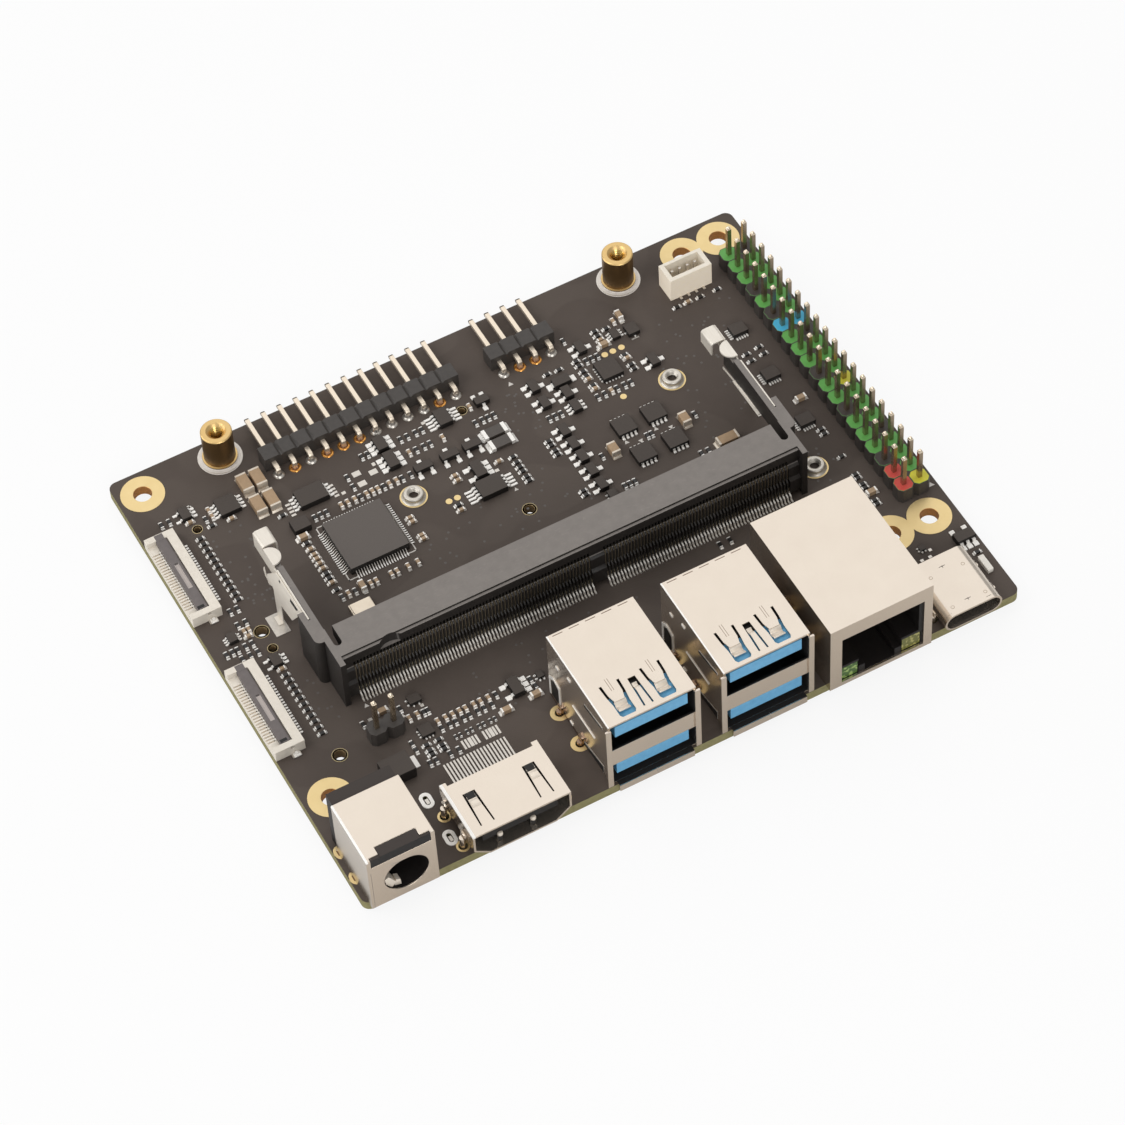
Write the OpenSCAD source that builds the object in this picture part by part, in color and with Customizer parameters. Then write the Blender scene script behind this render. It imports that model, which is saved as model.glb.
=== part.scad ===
// Carrier board for a plug-in computer module, with its connectors and latches.
// Board frame: x from the power jack to the small oval port, y from the port edge to the back,
// z up from the top face of the board. The placed() module moves that frame to the base centre.

/* [Board] */
// Width of the board along the port edge
board_w = 100; // [99:0.5:104]
// Depth of the board from the port edge to the back edge
board_d = 79.6; // [79.6:0.2:84]
// Thickness of the board
board_t = 1.6; // [1.2:0.1:2]
// Radius of the rounded board corners
board_corner_r = 1.2; // [0.5:0.1:2.5]
// How far the solder tails stand out below the board
tail_len = 1.3; // [1.2:0.1:2]

/* [Mounting holes] */
// Distance of the left holes from the left edge
hole_left_x = 3.75; // [3.6:0.05:4]
// Distance of the back holes from the back edge
hole_back_inset = 3.85; // [3.7:0.05:4.2]
// Distance of the front holes from the port edge
hole_front_inset = 17.25; // [17.2:0.05:17.4]
// Distance between the left holes and the inner right holes
hole_pitch_inner = 86.25; // [86:0.05:86.5]
// Distance between the left holes and the outer right holes
hole_pitch_outer = 92.3; // [92.1:0.1:92.6]
// Diameter of the mounting holes
hole_d = 2.7; // [2.2:0.1:3.2]
// Outer diameter of the plated ring round each mounting hole
ring_d = 6.3; // [5.5:0.1:6.4]
// Thickness of the plated copper above the mask
plating_t = 0.05; // [0.03:0.01:0.1]

/* [Standoffs and nuts] */
// Distance between the two brass standoffs
standoff_pitch = 63.8; // [63:0.1:64.5]
// Height of a brass standoff above the board
standoff_h = 5.9; // [4:0.1:8]
// Outer diameter of a brass standoff
standoff_d = 4.5; // [4:0.1:5]
// Diameter of the threaded bore in a standoff
standoff_bore_d = 2; // [1.6:0.1:2.5]
// Outer diameter of a soldered nut
nut_d = 2.9; // [2.6:0.1:3.2]
// Diameter of the threaded bore in a soldered nut
nut_bore_d = 1.6; // [1.4:0.1:2]
// Height of a soldered nut above the board
nut_h = 0.9; // [0.5:0.1:1.5]

/* [Module socket] */
// Length of the socket housing
socket_len = 71.6; // [71.2:0.2:73]
// Height of the socket housing above the board
socket_h = 9.2; // [8.8:0.1:10]
// Contact pitch of the socket
socket_pitch = 0.5; // [0.48:0.01:0.5]
// Width of one socket contact
contact_w = 0.2; // [0.14:0.01:0.22]
// Clearance of a contact in its slot, each side
contact_gap = 0.03; // [0.02:0.01:0.05]
// Contacts left of the key
contacts_left = 72; // [60:1:72]
// Contacts right of the key
contacts_right = 58; // [50:1:58]
// Thickness of the latch sheet
latch_t = 0.25; // [0.2:0.05:0.25]

/* [Pin headers] */
// Pitch of all pin headers
pin_pitch = 2.54; // [2.5:0.01:2.54]
// Width of a square header pin
pin_w = 0.64; // [0.5:0.01:0.64]
// Height of a header insulator
header_h = 2.54; // [2.2:0.02:2.8]
// Height of the upright pins above the board
pin_top = 8.4; // [7:0.1:9.5]
// Pins in each row of the large upright header
gpio_pins = 20; // [10:1:20]
// Pins in the long angled header
long_row = 12; // [6:1:12]
// Pins in the short angled header
short_row = 4; // [2:1:4]
// Length of an angled pin beyond its insulator
angled_reach = 6.4; // [4:0.1:6.5]

/* [Ribbon connectors] */
// Length of a ribbon connector
ribbon_len = 15.6; // [15.2:0.1:16]
// Height of a ribbon connector
ribbon_h = 1.9; // [1.8:0.05:2.2]
// Contacts in a ribbon connector
ribbon_contacts = 22; // [15:1:22]
// Running gap round the hinged flap
flap_gap = 0.06; // [0.04:0.01:0.1]

/* [Port connectors] */
// Wall of the sheet metal shells
shell_t = 0.3; // [0.2:0.05:0.4]
// Width of a stacked port shell
stack_w = 13.1; // [12.8:0.1:13.4]
// Height of a stacked port shell
stack_h = 13.2; // [13:0.1:14]
// Top of the lower mouth of a stacked port, above its floor
slot_h = 4.05; // [3.9:0.05:4.2]
// Height of the bar between the two mouths
stack_bar_h = 3.3; // [3.1:0.1:3.4]
// Distance between the two stacked ports
stack_pitch = 17.25; // [16.8:0.05:17.4]
// Width of the network socket
network_w = 15.8; // [15.6:0.1:16]
// How far the network socket's roof lies below that of the stacked ports
network_drop = 0.1; // [0:0.1:0.4]
// How far the network socket stands out past the board edge
front_overhang = 1.2; // [0.6:0.1:1.5]
// Width of the power jack
jack_w = 9.9; // [9.6:0.1:10.4]
// Height of the power jack
jack_h = 11; // [10.6:0.1:11.6]
// Diameter of the power jack's mouth
jack_mouth_d = 6.4; // [6:0.1:6.6]
// Diameter of the power jack's centre pin
jack_pin_d = 2; // [1.6:0.1:2.5]
// Width of the video port
video_w = 14.5; // [14.2:0.1:15]
// Width of the oval port
oval_w = 8.94; // [8.8:0.02:9.2]
// Height of the oval port
oval_h = 3.2; // [3:0.05:3.4]

/* [Hidden] */
$fn = 48;
eps = 0.01;
hole_front_y = hole_front_inset;
hole_back_y = board_d - hole_back_inset;
hole_xs = [hole_left_x, hole_left_x + hole_pitch_inner, hole_left_x + hole_pitch_outer];
hole_places = [for (x = hole_xs, y = [hole_front_y, hole_back_y]) [x, y]];
// Small plated holes that locate the connectors: x, y, bore
guide_holes = [[7.7, 66.3, 0.9], [7.7, 46.1, 1.6], [7.8, 42.85, 0.9], [7.8, 22.65, 1.6],
    [49.1, 46.1, 1.5], [49.1, 66.3, 1]];
// Plated slots beside the video port
slot_places = [[14.5, 10.6], [14.5, 3.9]];
test_pads = [[40.1, 52.95], [41.4, 52.95], [71.4, 65], [72.7, 65], [74.1, 65], [70, 57]];

socket_mid_x = 47.9;
standoff_y = board_d - 3.4;
seat_z = plating_t + 0.01;
standoff_base_d = 6.2;
latch_pivot_y = 48;
arm_end_y = 51;
boss_w = 1.15;
nut_places = [[36.25, 56.2], [77.4, 56.2], [86.75, 32.5]];
nut_ring_d = 3.95;
socket_x0 = socket_mid_x - socket_len / 2;
socket_x1 = socket_mid_x + socket_len / 2;
socket_y0 = 29.1;
socket_y1 = 35.9;
bar_y0 = 30.3;
comb_root_y = 31.6;
post_w = 0.8;
contact_x0 = socket_x0 + 2.5;
key_gap = 2.5;
contact_xs = concat(
    [for (i = [0 : contacts_left - 1]) contact_x0 + i * socket_pitch],
    [for (i = [0 : contacts_right - 1])
        contact_x0 + (contacts_left - 1) * socket_pitch + key_gap + i * socket_pitch]);

gpio_x = 94.88;
gpio_y = 22.26;
angled_long_x = 21.73;
angled_short_x = 57.4;
angled_y = board_d - 10.4;
angled_body_y = angled_y + 1.3;
jumper_x = 13.5;
jumper_y = 22.6;
pin_hole_d = 1;

ribbon_x0 = 0;
ribbon_w = 4.4;
ribbon_front_y = 25.95;
ribbon_back_y = ribbon_front_y + 25.4;
ribbon_bar_w = 1.35;
ribbon_wall = 1;
flap_r = 0.42;
flap_pin_r = 0.22;
flap_axis_x = ribbon_x0 + ribbon_w - ribbon_bar_w - flap_gap - flap_r + 0.02;
flap_axis_z = ribbon_h - flap_r;
flap_x0 = ribbon_x0 + 1.35;

stack_x = [36.7, 36.7 + stack_pitch];
stack_y0 = 0.3;
stack_depth = 16.9;
network_x0 = 69.3;
network_h = stack_h - network_drop;
network_depth = 21.2;
jack_x0 = 0.6;
jack_y0 = -1.1;
jack_depth = 12.3;
jack_mouth_x = 6;
jack_mouth_z = 4.7;
video_x0 = 15.65;
video_y0 = -1.1;
video_depth = 8.9;
video_h = 5.25;
oval_x = 91.95;
oval_y0 = -0.9;
oval_depth = 9.8;
fan_x0 = 84.4;
fan_y0 = board_d - 10.7;
fan_w = 6.75;
fan_d = 3.5;
fan_h = 4.2;

hub_x = 27.15;
hub_y = 52.9;
hub_w = 9;
hub_h = 1.4;
hub_pitch = 0.4;
hub_side = 20;

// Moves the board frame so that the base centre is the origin
module placed() {
    translate([-board_w / 2, (front_overhang - board_d) / 2, board_t + tail_len]) children();
}

// Box from one corner to the opposite one
module block(a, b) {
    translate(a) cube(b - a);
}

// Flat outline with round corners
module round_rect(w, d, r) {
    translate([r, 0]) square([w - 2 * r, d]);
    translate([0, r]) square([w, d - 2 * r]);
    for (x = [r, w - r], y = [r, d - r]) translate([x, y]) circle(r);
}

// Outline in y and z, drawn out along x
module along_x(x0, x1) {
    translate([x0, 0, 0]) rotate([90, 0, 90]) linear_extrude(x1 - x0) children();
}

// Outline in x and z, drawn out along y
module along_y(y0, y1) {
    translate([0, y1, 0]) rotate([90, 0, 0]) linear_extrude(y1 - y0) children();
}

// Places of the pins of a row
function row_places(x, y, n) = [for (i = [0 : n - 1]) [x + i * pin_pitch, y]];
gpio_places = [for (i = [0 : gpio_pins - 1], j = [0, 1]) [gpio_x + j * pin_pitch, gpio_y + i * pin_pitch]];
long_places = row_places(angled_long_x, angled_y, long_row);
short_places = row_places(angled_short_x, angled_y, short_row);
jumper_places = row_places(jumper_x, jumper_y, 2);
fan_places = [for (i = [0 : 3]) [fan_x0 + fan_w / 2 + (i - 1.5) * 1.25, fan_y0 + 1.6]];
// Legs of the port shells that go through the board: x, y
stack_leg_y = [8.2, 13.9];
stack_legs = [for (x0 = stack_x, s = [0, 1], y = stack_leg_y)
    [s == 0 ? x0 - 0.35 : x0 + stack_w + 0.35, y]];
network_legs = [[network_x0 - 0.25, 7.8], [network_x0 + network_w + 0.25, 7.8]];
network_pins = [for (i = [0 : 7]) [network_x0 + network_w / 2 + (i - 3.5) * 1.27, 12.6 + (i % 2) * 2.54]];
jack_legs = [[jack_x0 + shell_t / 2, 4.3], [jack_x0 + shell_t / 2, 8.9]];
video_legs = [for (x = [video_x0 - 0.3, video_x0 + video_w + 0.3], y = [1.7, 7]) [x, y]];
oval_legs = [for (x = [oval_x - oval_w / 2 - 0.2, oval_x + oval_w / 2 + 0.2], y = [2, 6.4]) [x, y]];
leg_d = 0.9;
leg_hole_d = 1.3;

module circuit_board() {
    color([0.16, 0.15, 0.14]) placed() translate([0, 0, -board_t]) linear_extrude(board_t)
        difference() {
            round_rect(board_w, board_d, board_corner_r);
            for (p = hole_places) translate(p) circle(d = hole_d);
            for (p = guide_holes) translate([p[0], p[1]]) circle(d = p[2]);
            for (p = slot_places) translate(p) square([0.5, 1.5], center = true);
            for (p = concat(gpio_places, long_places, short_places, jumper_places))
                translate(p) circle(d = pin_hole_d, $fn = 24);
            for (p = network_pins) translate(p) circle(d = 0.9, $fn = 24);
            for (p = concat(stack_legs, network_legs, jack_legs, video_legs, oval_legs))
                translate(p) circle(d = leg_hole_d, $fn = 24);
            translate([jack_mouth_x, jack_y0 + jack_depth - 1.6]) circle(d = leg_hole_d);
        }
}

// Plated ring on the top and the bottom face, joined by the plated wall of the hole
module ring(p, outer, inner) {
    translate([p[0], p[1], 0]) difference() {
        cylinder(h = plating_t, d = outer);
        translate([0, 0, -eps]) cylinder(h = plating_t + 2 * eps, d = inner);
    }
}

module plated_rings() {
    color([0.85, 0.68, 0.35]) placed() {
        for (y = [hole_front_y, hole_back_y]) {
            ring([hole_xs[0], y], ring_d, hole_d);
            difference() {
                union() {
                    for (x = [hole_xs[1], hole_xs[2]])
                        translate([x, y, 0]) cylinder(h = plating_t, d = ring_d);
                }
                for (x = [hole_xs[1], hole_xs[2]])
                    translate([x, y, -eps]) cylinder(h = plating_t + 2 * eps, d = hole_d);
            }
        }
        for (p = guide_holes) ring([p[0], p[1]], p[2] + 0.45, p[2]);
        for (p = nut_places) ring(p, nut_ring_d, nut_d + 0.02);
        for (p = concat(long_places, short_places)) ring(p, 1.65, pin_hole_d);
        for (p = stack_legs) ring(p, 2.6, leg_hole_d);
        for (p = video_legs) ring(p, 1.9, leg_hole_d);
        for (p = jack_legs) ring(p, 1.48, leg_hole_d);
        for (p = test_pads) translate([p[0], p[1], 0]) cylinder(h = plating_t, d = 0.95);
    }
}

module standoffs() {
    color([0.72, 0.55, 0.28]) placed()
        for (x = [socket_mid_x - standoff_pitch / 2, socket_mid_x + standoff_pitch / 2])
            translate([x, standoff_y, 0]) rotate_extrude() polygon([
                [standoff_bore_d / 2, 0.6], [standoff_bore_d / 2, standoff_h - 0.45],
                [standoff_bore_d / 2 + 0.45, standoff_h], [standoff_d / 2 - 0.15, standoff_h],
                [standoff_d / 2, standoff_h - 0.15], [standoff_d / 2, 0.5],
                [standoff_d / 2 + 0.25, 0.5], [standoff_d / 2 + 0.25, 0], [0, 0], [0, 0.6]]);
}

module soldered_nuts() {
    color([0.78, 0.77, 0.74]) placed()
        for (p = nut_places) translate([p[0], p[1], 0]) rotate_extrude() polygon([
            [nut_bore_d / 2, 0], [nut_d / 2, 0], [nut_d / 2, nut_h - 0.15],
            [nut_d / 2 - 0.15, nut_h], [nut_bore_d / 2 + 0.15, nut_h], [nut_bore_d / 2, nut_h - 0.15]]);
}

// Comb outline: one notch for each contact, open towards the port edge
module comb_outline() {
    w = contact_w / 2 + contact_gap;
    tip = socket_y0;
    polygon(concat(
        [[socket_x0 + 0.5, comb_root_y], [socket_x0 + 0.5, tip]],
        [for (x = contact_xs) each [[x - w, tip], [x - w, comb_root_y - 0.2],
            [x + w, comb_root_y - 0.2], [x + w, tip]]],
        [[socket_x1 - 0.5, tip], [socket_x1 - 0.5, comb_root_y]]));
}

module socket_comb() {
    intersection() {
        translate([0, 0, 0.9]) linear_extrude(socket_h - 2.7) comb_outline();
        along_x(socket_x0, socket_x1) polygon([[comb_root_y, 0], [29.7, 0], [29.7, 3.4], [30.15, 3.8],
            [30.15, 5.8], [30.6, 6.2], [30.6, socket_h - 1], [comb_root_y, socket_h - 1]]);
    }
}

// Right end of the part is the mirror of its left end
module at_socket_end(s) {
    translate([s == 0 ? socket_x0 : socket_x1, 0, 0]) mirror([s, 0, 0]) children();
}

// Plastic arm beside one latch and the boss that anchors it, with x = 0 at the housing's end
module socket_arm() {
    difference() {
        block([0, 33, 5.5], [post_w, arm_end_y, socket_h]);
        block([-1, 48.2, socket_h - 0.6], [2, 60, socket_h + 1]);
    }
    linear_extrude(socket_h) difference() {
        union() {
            translate([-boss_w, 34.9]) square([boss_w + 0.1, 4.95]);
            translate([-boss_w + 0.9, 34]) square([boss_w - 0.8, 1]);
            translate([-boss_w + 0.9, 34.9]) circle(0.9);
        }
        translate([-0.3, 38.2]) square([0.5, 3]);
    }
}

module module_socket() {
    color([0.36, 0.34, 0.33]) placed() difference() {
        union() {
            along_x(socket_x0, socket_x1) polygon([[comb_root_y, 0.5], [socket_y1, 0.5],
                [socket_y1, 4.2], [33.2, 4.2], [33.2, 6.3], [socket_y1, 7.2],
                [socket_y1, socket_h], [bar_y0 + 0.45, socket_h], [bar_y0 + 0.4, socket_h - 0.3],
                [bar_y0, socket_h - 0.3], [bar_y0, socket_h - 1.8], [comb_root_y, socket_h - 1.8]]);
            for (s = [0, 1]) at_socket_end(s) {
                block([0, socket_y0 + 0.1, 0], [post_w, socket_y1, socket_h]);
                socket_arm();
            }
            socket_comb();
        }
        // Open ends beside the arms that let the latches spring, and the small hole near the left one
        for (s = [0, 1]) at_socket_end(s) {
            block([post_w + 0.1, 33.1, 5.5], [post_w + 1.25, socket_y1 + 1, socket_h + 1]);
            translate([post_w + 0.675, 33.1, 5.5]) cylinder(h = socket_h, d = 1.15);
        }
        // Half-round bite in the front lip
        translate([20, 28.5, socket_h - 1.75]) cylinder(h = 4, r = 2.4);
    }
}

// Contact whose tail shows at the comb, as an outline in y and z
module rear_contact(x) {
    along_x(x - contact_w / 2, x + contact_w / 2) polygon([[28.7, 0], [29.3, 0], [29.5, 0.5],
        [30, 0.7], [30.25, 1.4], [30.75, 1.6], [30.75, 6.1], [30.35, 6.1], [30.35, 2], [29.9, 1.7],
        [29.75, 1], [29.3, 0.8], [29.05, 0.2], [28.7, 0.2]]);
}

module front_contact(x) {
    along_x(x - contact_w / 2, x + contact_w / 2) polygon([[socket_y1 + eps, 0], [socket_y1 + 1.2, 0],
        [socket_y1 + 1.2, 0.15], [socket_y1 + 0.3, 0.15], [socket_y1 + 0.3, 0.9], [socket_y1 + eps, 0.9]]);
}

module socket_rear_contacts() {
    color([0.8, 0.77, 0.7]) placed() for (x = contact_xs) rear_contact(x);
}

module socket_front_contacts() {
    color([0.8, 0.77, 0.7]) placed() for (x = contact_xs) front_contact(x);
}

// Sprung end of the latch, with x = 0 at the housing's end: upright sheet, half-round hook, folded finger tab
module latch_leaf() {
    top = socket_h;
    difference() {
        union() {
            block([-0.3, latch_pivot_y + 0.1, 6.2], [-0.3 + latch_t, 55.3, top - 0.2]);
            intersection() {
                translate([-0.1, 50.45, top - 0.35]) cylinder(h = latch_t, r = 1.6);
                block([-0.3, 48, 0], [3, 53, 20]);
            }
        }
        block([-1, 52.05, top - 1], [3, 52.3, top + 1]);
        block([-1, latch_pivot_y, top - 0.7], [1, 48.9, top + 1]);
    }
    along_y(52.3, 55.3) difference() {
        union() {
            translate([-0.3, top - 0.75]) square([2.3, 0.1]);
            translate([0.2, top - 0.75]) square([1.3, 0.75]);
            for (x = [0.2, 1.5]) translate([x, top - 0.5]) circle(0.5);
            translate([-0.3, top - 2.4]) square([2.3, 1.9]);
        }
        translate([0.2, top - 3]) square([1.3, 2.75]);
        for (x = [0.2, 1.5]) translate([x, top - 0.5]) circle(0.25);
        translate([-0.05, top - 3]) square([1.8, 2.5]);
    }
}

// Fixed channel of the latch under the arm, with its leg down to the solder pad
module latch_anchor() {
    along_y(40.9, latch_pivot_y - 0.1) polygon([[-0.27, 5.1], [post_w + 0.35, 5.1], [post_w + 0.35, 6.4],
        [post_w + 0.15, 6.4], [post_w + 0.15, 5.3], [-0.05, 5.3], [-0.27, 5.3]]);
    along_x(-0.27, -0.05) difference() {
        polygon([[39.9, 9.2], [39.9, 8.8], [42.2, 4.9], [45, 4.6], [47.4, 3], [49.3, 2.8], [49.5, 3.5],
            [50.9, 3.4], [51.1, 4.4], [49.4, 5.9], [latch_pivot_y - 0.1, 5.9], [latch_pivot_y - 0.1, 9.2]]);
        translate([41.4, 7.9]) square([2.2, 0.8]);
    }
    along_x(post_w + 0.15, post_w + 0.35) polygon([[latch_pivot_y - 0.2, 5.1], [49.6, 5.1],
        [50.7, 6.2], [50.7, 6.4], [latch_pivot_y - 0.2, 6.4]]);
    along_y(43.9, 46.6) polygon([[-0.27, 5.1], [-0.05, 5.1], [-0.05, 5.4], [-0.27, 5.4]]);
    along_y(44.3, 46.2) polygon([[-0.27, 5.5], [-0.05, 5.1], [-1.35, 0.35], [-1.35, 0.1], [-2.6, 0.1],
        [-2.6, 0.35], [-1.6, 0.35]]);
}

module at_end(s) {
    placed() at_socket_end(s) children();
}

module latch_left() { color([0.88, 0.87, 0.84]) at_end(0) latch_leaf(); }
module latch_right() { color([0.88, 0.87, 0.84]) at_end(1) latch_leaf(); }
module latch_anchor_left() { color([0.88, 0.87, 0.84]) at_end(0) latch_anchor(); }
module latch_anchor_right() { color([0.88, 0.87, 0.84]) at_end(1) latch_anchor(); }

// One header cell with cut corners
module cell_outline(w) {
    c = w * 0.22;
    polygon([[-w / 2, -w / 2 + c], [-w / 2 + c, -w / 2], [w / 2 - c, -w / 2], [w / 2, -w / 2 + c],
        [w / 2, w / 2 - c], [w / 2 - c, w / 2], [-w / 2 + c, w / 2], [-w / 2, w / 2 - c]]);
}

// Insulator of upright pins: rows of cells that meet face to face, with a square hole for each pin
module upright_base(x, y, nx, ny, h) {
    c = pin_pitch * 0.22;
    p = pin_pitch;
    linear_extrude(h) difference() {
        translate([x - p / 2, y - p / 2]) square([nx * p, ny * p]);
        for (i = [0 : nx], j = [0 : ny]) translate([x + (i - 0.5) * p, y + (j - 0.5) * p])
            if (i == 0 || i == nx || j == 0 || j == ny) rotate(45) square(c * sqrt(2), center = true);
        for (i = [0 : nx - 1], j = [0 : ny - 1]) translate([x + i * p, y + j * p])
            square(pin_w + 0.04, center = true);
    }
}

module square_pin(x, y, z0, z1) {
    t = pin_w / 2;
    block([x - t, y - t, z0], [x + t, y + t, z1]);
}

colour_of = [
    ["red", "red", "black", "green", "green", "green", "black", "green", "green", "black",
        "green", "green", "green", "blue", "black", "green", "black", "green", "green", "green"],
    ["yellow", "green", "green", "green", "black", "green", "green", "green", "yellow", "green",
        "green", "green", "black", "blue", "green", "green", "green", "green", "green", "black"]];

module gpio_base() {
    color([0.12, 0.11, 0.1]) placed() upright_base(gpio_x, gpio_y, 2, gpio_pins, header_h);
}

module gpio_colour_tops() {
    placed() for (j = [0, 1], i = [0 : gpio_pins - 1]) if (colour_of[j][i] != "black")
        color(colour_of[j][i]) translate([gpio_x + j * pin_pitch, gpio_y + i * pin_pitch, header_h])
            linear_extrude(0.06) difference() {
                cell_outline(pin_pitch - 0.24);
                square(pin_w + 0.04, center = true);
            }
}

module gpio_pins_node() {
    color([0.7, 0.62, 0.42]) placed()
        for (p = gpio_places) square_pin(p[0], p[1], -board_t - tail_len, pin_top);
}

// Insulator of angled pins, with a groove between the cells
module angled_base(x, n) {
    difference() {
        block([x - pin_pitch / 2, angled_body_y, 0], [x + (n - 0.5) * pin_pitch, angled_body_y + header_h, header_h]);
        for (i = [0 : n - 2]) translate([x + (i + 0.5) * pin_pitch, 0, header_h])
            rotate([0, 45, 0]) cube([0.5, 3 * angled_body_y, 0.5], center = true);
        for (i = [0 : n - 1]) translate([x + i * pin_pitch, angled_body_y + header_h / 2, header_h / 2])
            cube([pin_w + 0.04, header_h + 1, pin_w + 0.04], center = true);
    }
}

module angled_pin(x) {
    t = pin_w / 2;
    top = header_h / 2 + t;
    along_x(x - t, x + t) polygon([[angled_y - t, -board_t - tail_len], [angled_y + t, -board_t - tail_len],
        [angled_y + t, top - pin_w], [angled_body_y + header_h + angled_reach - 0.2, top - pin_w],
        [angled_body_y + header_h + angled_reach, top - pin_w + 0.2],
        [angled_body_y + header_h + angled_reach, top - 0.2],
        [angled_body_y + header_h + angled_reach - 0.2, top], [angled_y, top], [angled_y - t, top - t]]);
}

module angled_base_long() { color([0.17, 0.16, 0.15]) placed() angled_base(angled_long_x, long_row); }
module angled_base_short() { color([0.17, 0.16, 0.15]) placed() angled_base(angled_short_x, short_row); }
module angled_pins_long() { color([0.9, 0.85, 0.74]) placed() for (p = long_places) angled_pin(p[0]); }
module angled_pins_short() { color([0.9, 0.85, 0.74]) placed() for (p = short_places) angled_pin(p[0]); }

module jumper_base() {
    color([0.2, 0.19, 0.17]) placed() upright_base(jumper_x, jumper_y, 2, 1, header_h);
}

module jumper_pins() {
    color([0.7, 0.62, 0.42]) placed()
        for (p = jumper_places) square_pin(p[0], p[1], -board_t - tail_len, pin_top);
}

// Ribbon connector, with its near end at y
module ribbon_housing(y) {
    y1 = y + ribbon_len;
    x1 = ribbon_x0 + ribbon_w;
    floor_z = flap_axis_z - flap_r - 0.1;
    difference() {
        union() {
            block([ribbon_x0, y, 0], [x1, y1, floor_z]);
            block([x1 - ribbon_bar_w, y, 0], [x1, y1, ribbon_h]);
            for (v = [y, y1 - ribbon_wall]) block([ribbon_x0, v, 0], [x1, v + ribbon_wall, ribbon_h]);
        }
        // Comb of contact grooves in the floor
        for (i = [0 : ribbon_contacts - 1]) translate([ribbon_x0 - eps, ribbon_contact_y(y, i) - 0.12, 0.75])
            cube([1.2, 0.24, 1]);
        // Bearings of the flap
        translate([flap_axis_x, y - eps, flap_axis_z]) rotate([-90, 0, 0])
            cylinder(h = ribbon_len + 2 * eps, r = flap_pin_r + flap_gap);
        // Room for the flap's edge between the end walls
        translate([flap_axis_x, y + ribbon_wall, flap_axis_z]) rotate([-90, 0, 0])
            cylinder(h = ribbon_len - 2 * ribbon_wall, r = flap_r + flap_gap);
    }
}

function ribbon_contact_y(y, i) = y + ribbon_len / 2 + (i - (ribbon_contacts - 1) / 2) * 0.5;

module ribbon_flap(y) {
    y0 = y + ribbon_wall + flap_gap;
    y1 = y + ribbon_len - ribbon_wall - flap_gap;
    difference() {
        union() {
            block([flap_x0, y0, flap_axis_z - flap_r + 0.08], [flap_axis_x, y1, ribbon_h]);
            translate([flap_axis_x, y0, flap_axis_z]) rotate([-90, 0, 0]) cylinder(h = y1 - y0, r = flap_r);
            translate([flap_axis_x, y + 0.3, flap_axis_z]) rotate([-90, 0, 0])
                cylinder(h = ribbon_len - 0.6, r = flap_pin_r);
        }
        block([flap_x0 + 0.55, y + 5.2, ribbon_h - 0.15], [flap_x0 + 1.05, y + 9.8, ribbon_h + 1]);
    }
}

module ribbon_contact_row(y) {
    x1 = ribbon_x0 + ribbon_w;
    for (i = [0 : ribbon_contacts - 1]) translate([0, ribbon_contact_y(y, i), 0]) {
        block([x1, -0.1, 0], [x1 + 0.75, 0.1, 0.15]);
        block([x1, -0.1, 0.15], [x1 + 0.15, 0.1, 0.5]);
    }
}

module ribbon_housing_front() { color([0.93, 0.89, 0.82]) placed() ribbon_housing(ribbon_front_y); }
module ribbon_housing_back() { color([0.93, 0.89, 0.82]) placed() ribbon_housing(ribbon_back_y); }
module ribbon_flap_front() { color([0.34, 0.32, 0.32]) placed() ribbon_flap(ribbon_front_y); }
module ribbon_flap_back() { color([0.34, 0.32, 0.32]) placed() ribbon_flap(ribbon_back_y); }
module ribbon_contacts_front() { color([0.8, 0.77, 0.7]) placed() ribbon_contact_row(ribbon_front_y); }
module ribbon_contacts_back() { color([0.8, 0.77, 0.7]) placed() ribbon_contact_row(ribbon_back_y); }

module ribbon_anchors() {
    color([0.85, 0.84, 0.8]) placed()
        for (y = [ribbon_front_y, ribbon_back_y], s = [-1, 1]) {
            v = s < 0 ? y : y + ribbon_len;
            block([2.2, min(v, v + s * 0.75), 0], [3.5, max(v, v + s * 0.75), 0.2]);
        }
}

// White upright socket for a four-wire plug
module fan_housing() {
    color([0.9, 0.88, 0.84]) placed() difference() {
        block([fan_x0, fan_y0, 0], [fan_x0 + fan_w, fan_y0 + fan_d, fan_h]);
        block([fan_x0 + 0.7, fan_y0 + 0.65, 1], [fan_x0 + fan_w - 0.7, fan_y0 + fan_d - 0.5, fan_h + 1]);
        for (x = [fan_x0 + 0.7, fan_x0 + fan_w - 1.7])
            block([x, fan_y0 + fan_d - 0.5 - eps, 1.5], [x + 1, fan_y0 + fan_d + 1, fan_h + 1]);
    }
}

module fan_pins() {
    color([0.82, 0.8, 0.74]) placed() for (p = fan_places) {
        block([p[0] - 0.2, p[1] - 0.2, 1], [p[0] + 0.2, p[1] + 0.2, 3.4]);
        block([p[0] - 0.2, fan_y0 - 0.6, 0], [p[0] + 0.2, fan_y0, 0.2]);
    }
}

// Round leg of a sheet shell, through its plated hole
module leg(p, top) {
    translate([p[0], p[1], -board_t - tail_len]) cylinder(h = board_t + tail_len + top, d = leg_d, $fn = 24);
}

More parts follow.
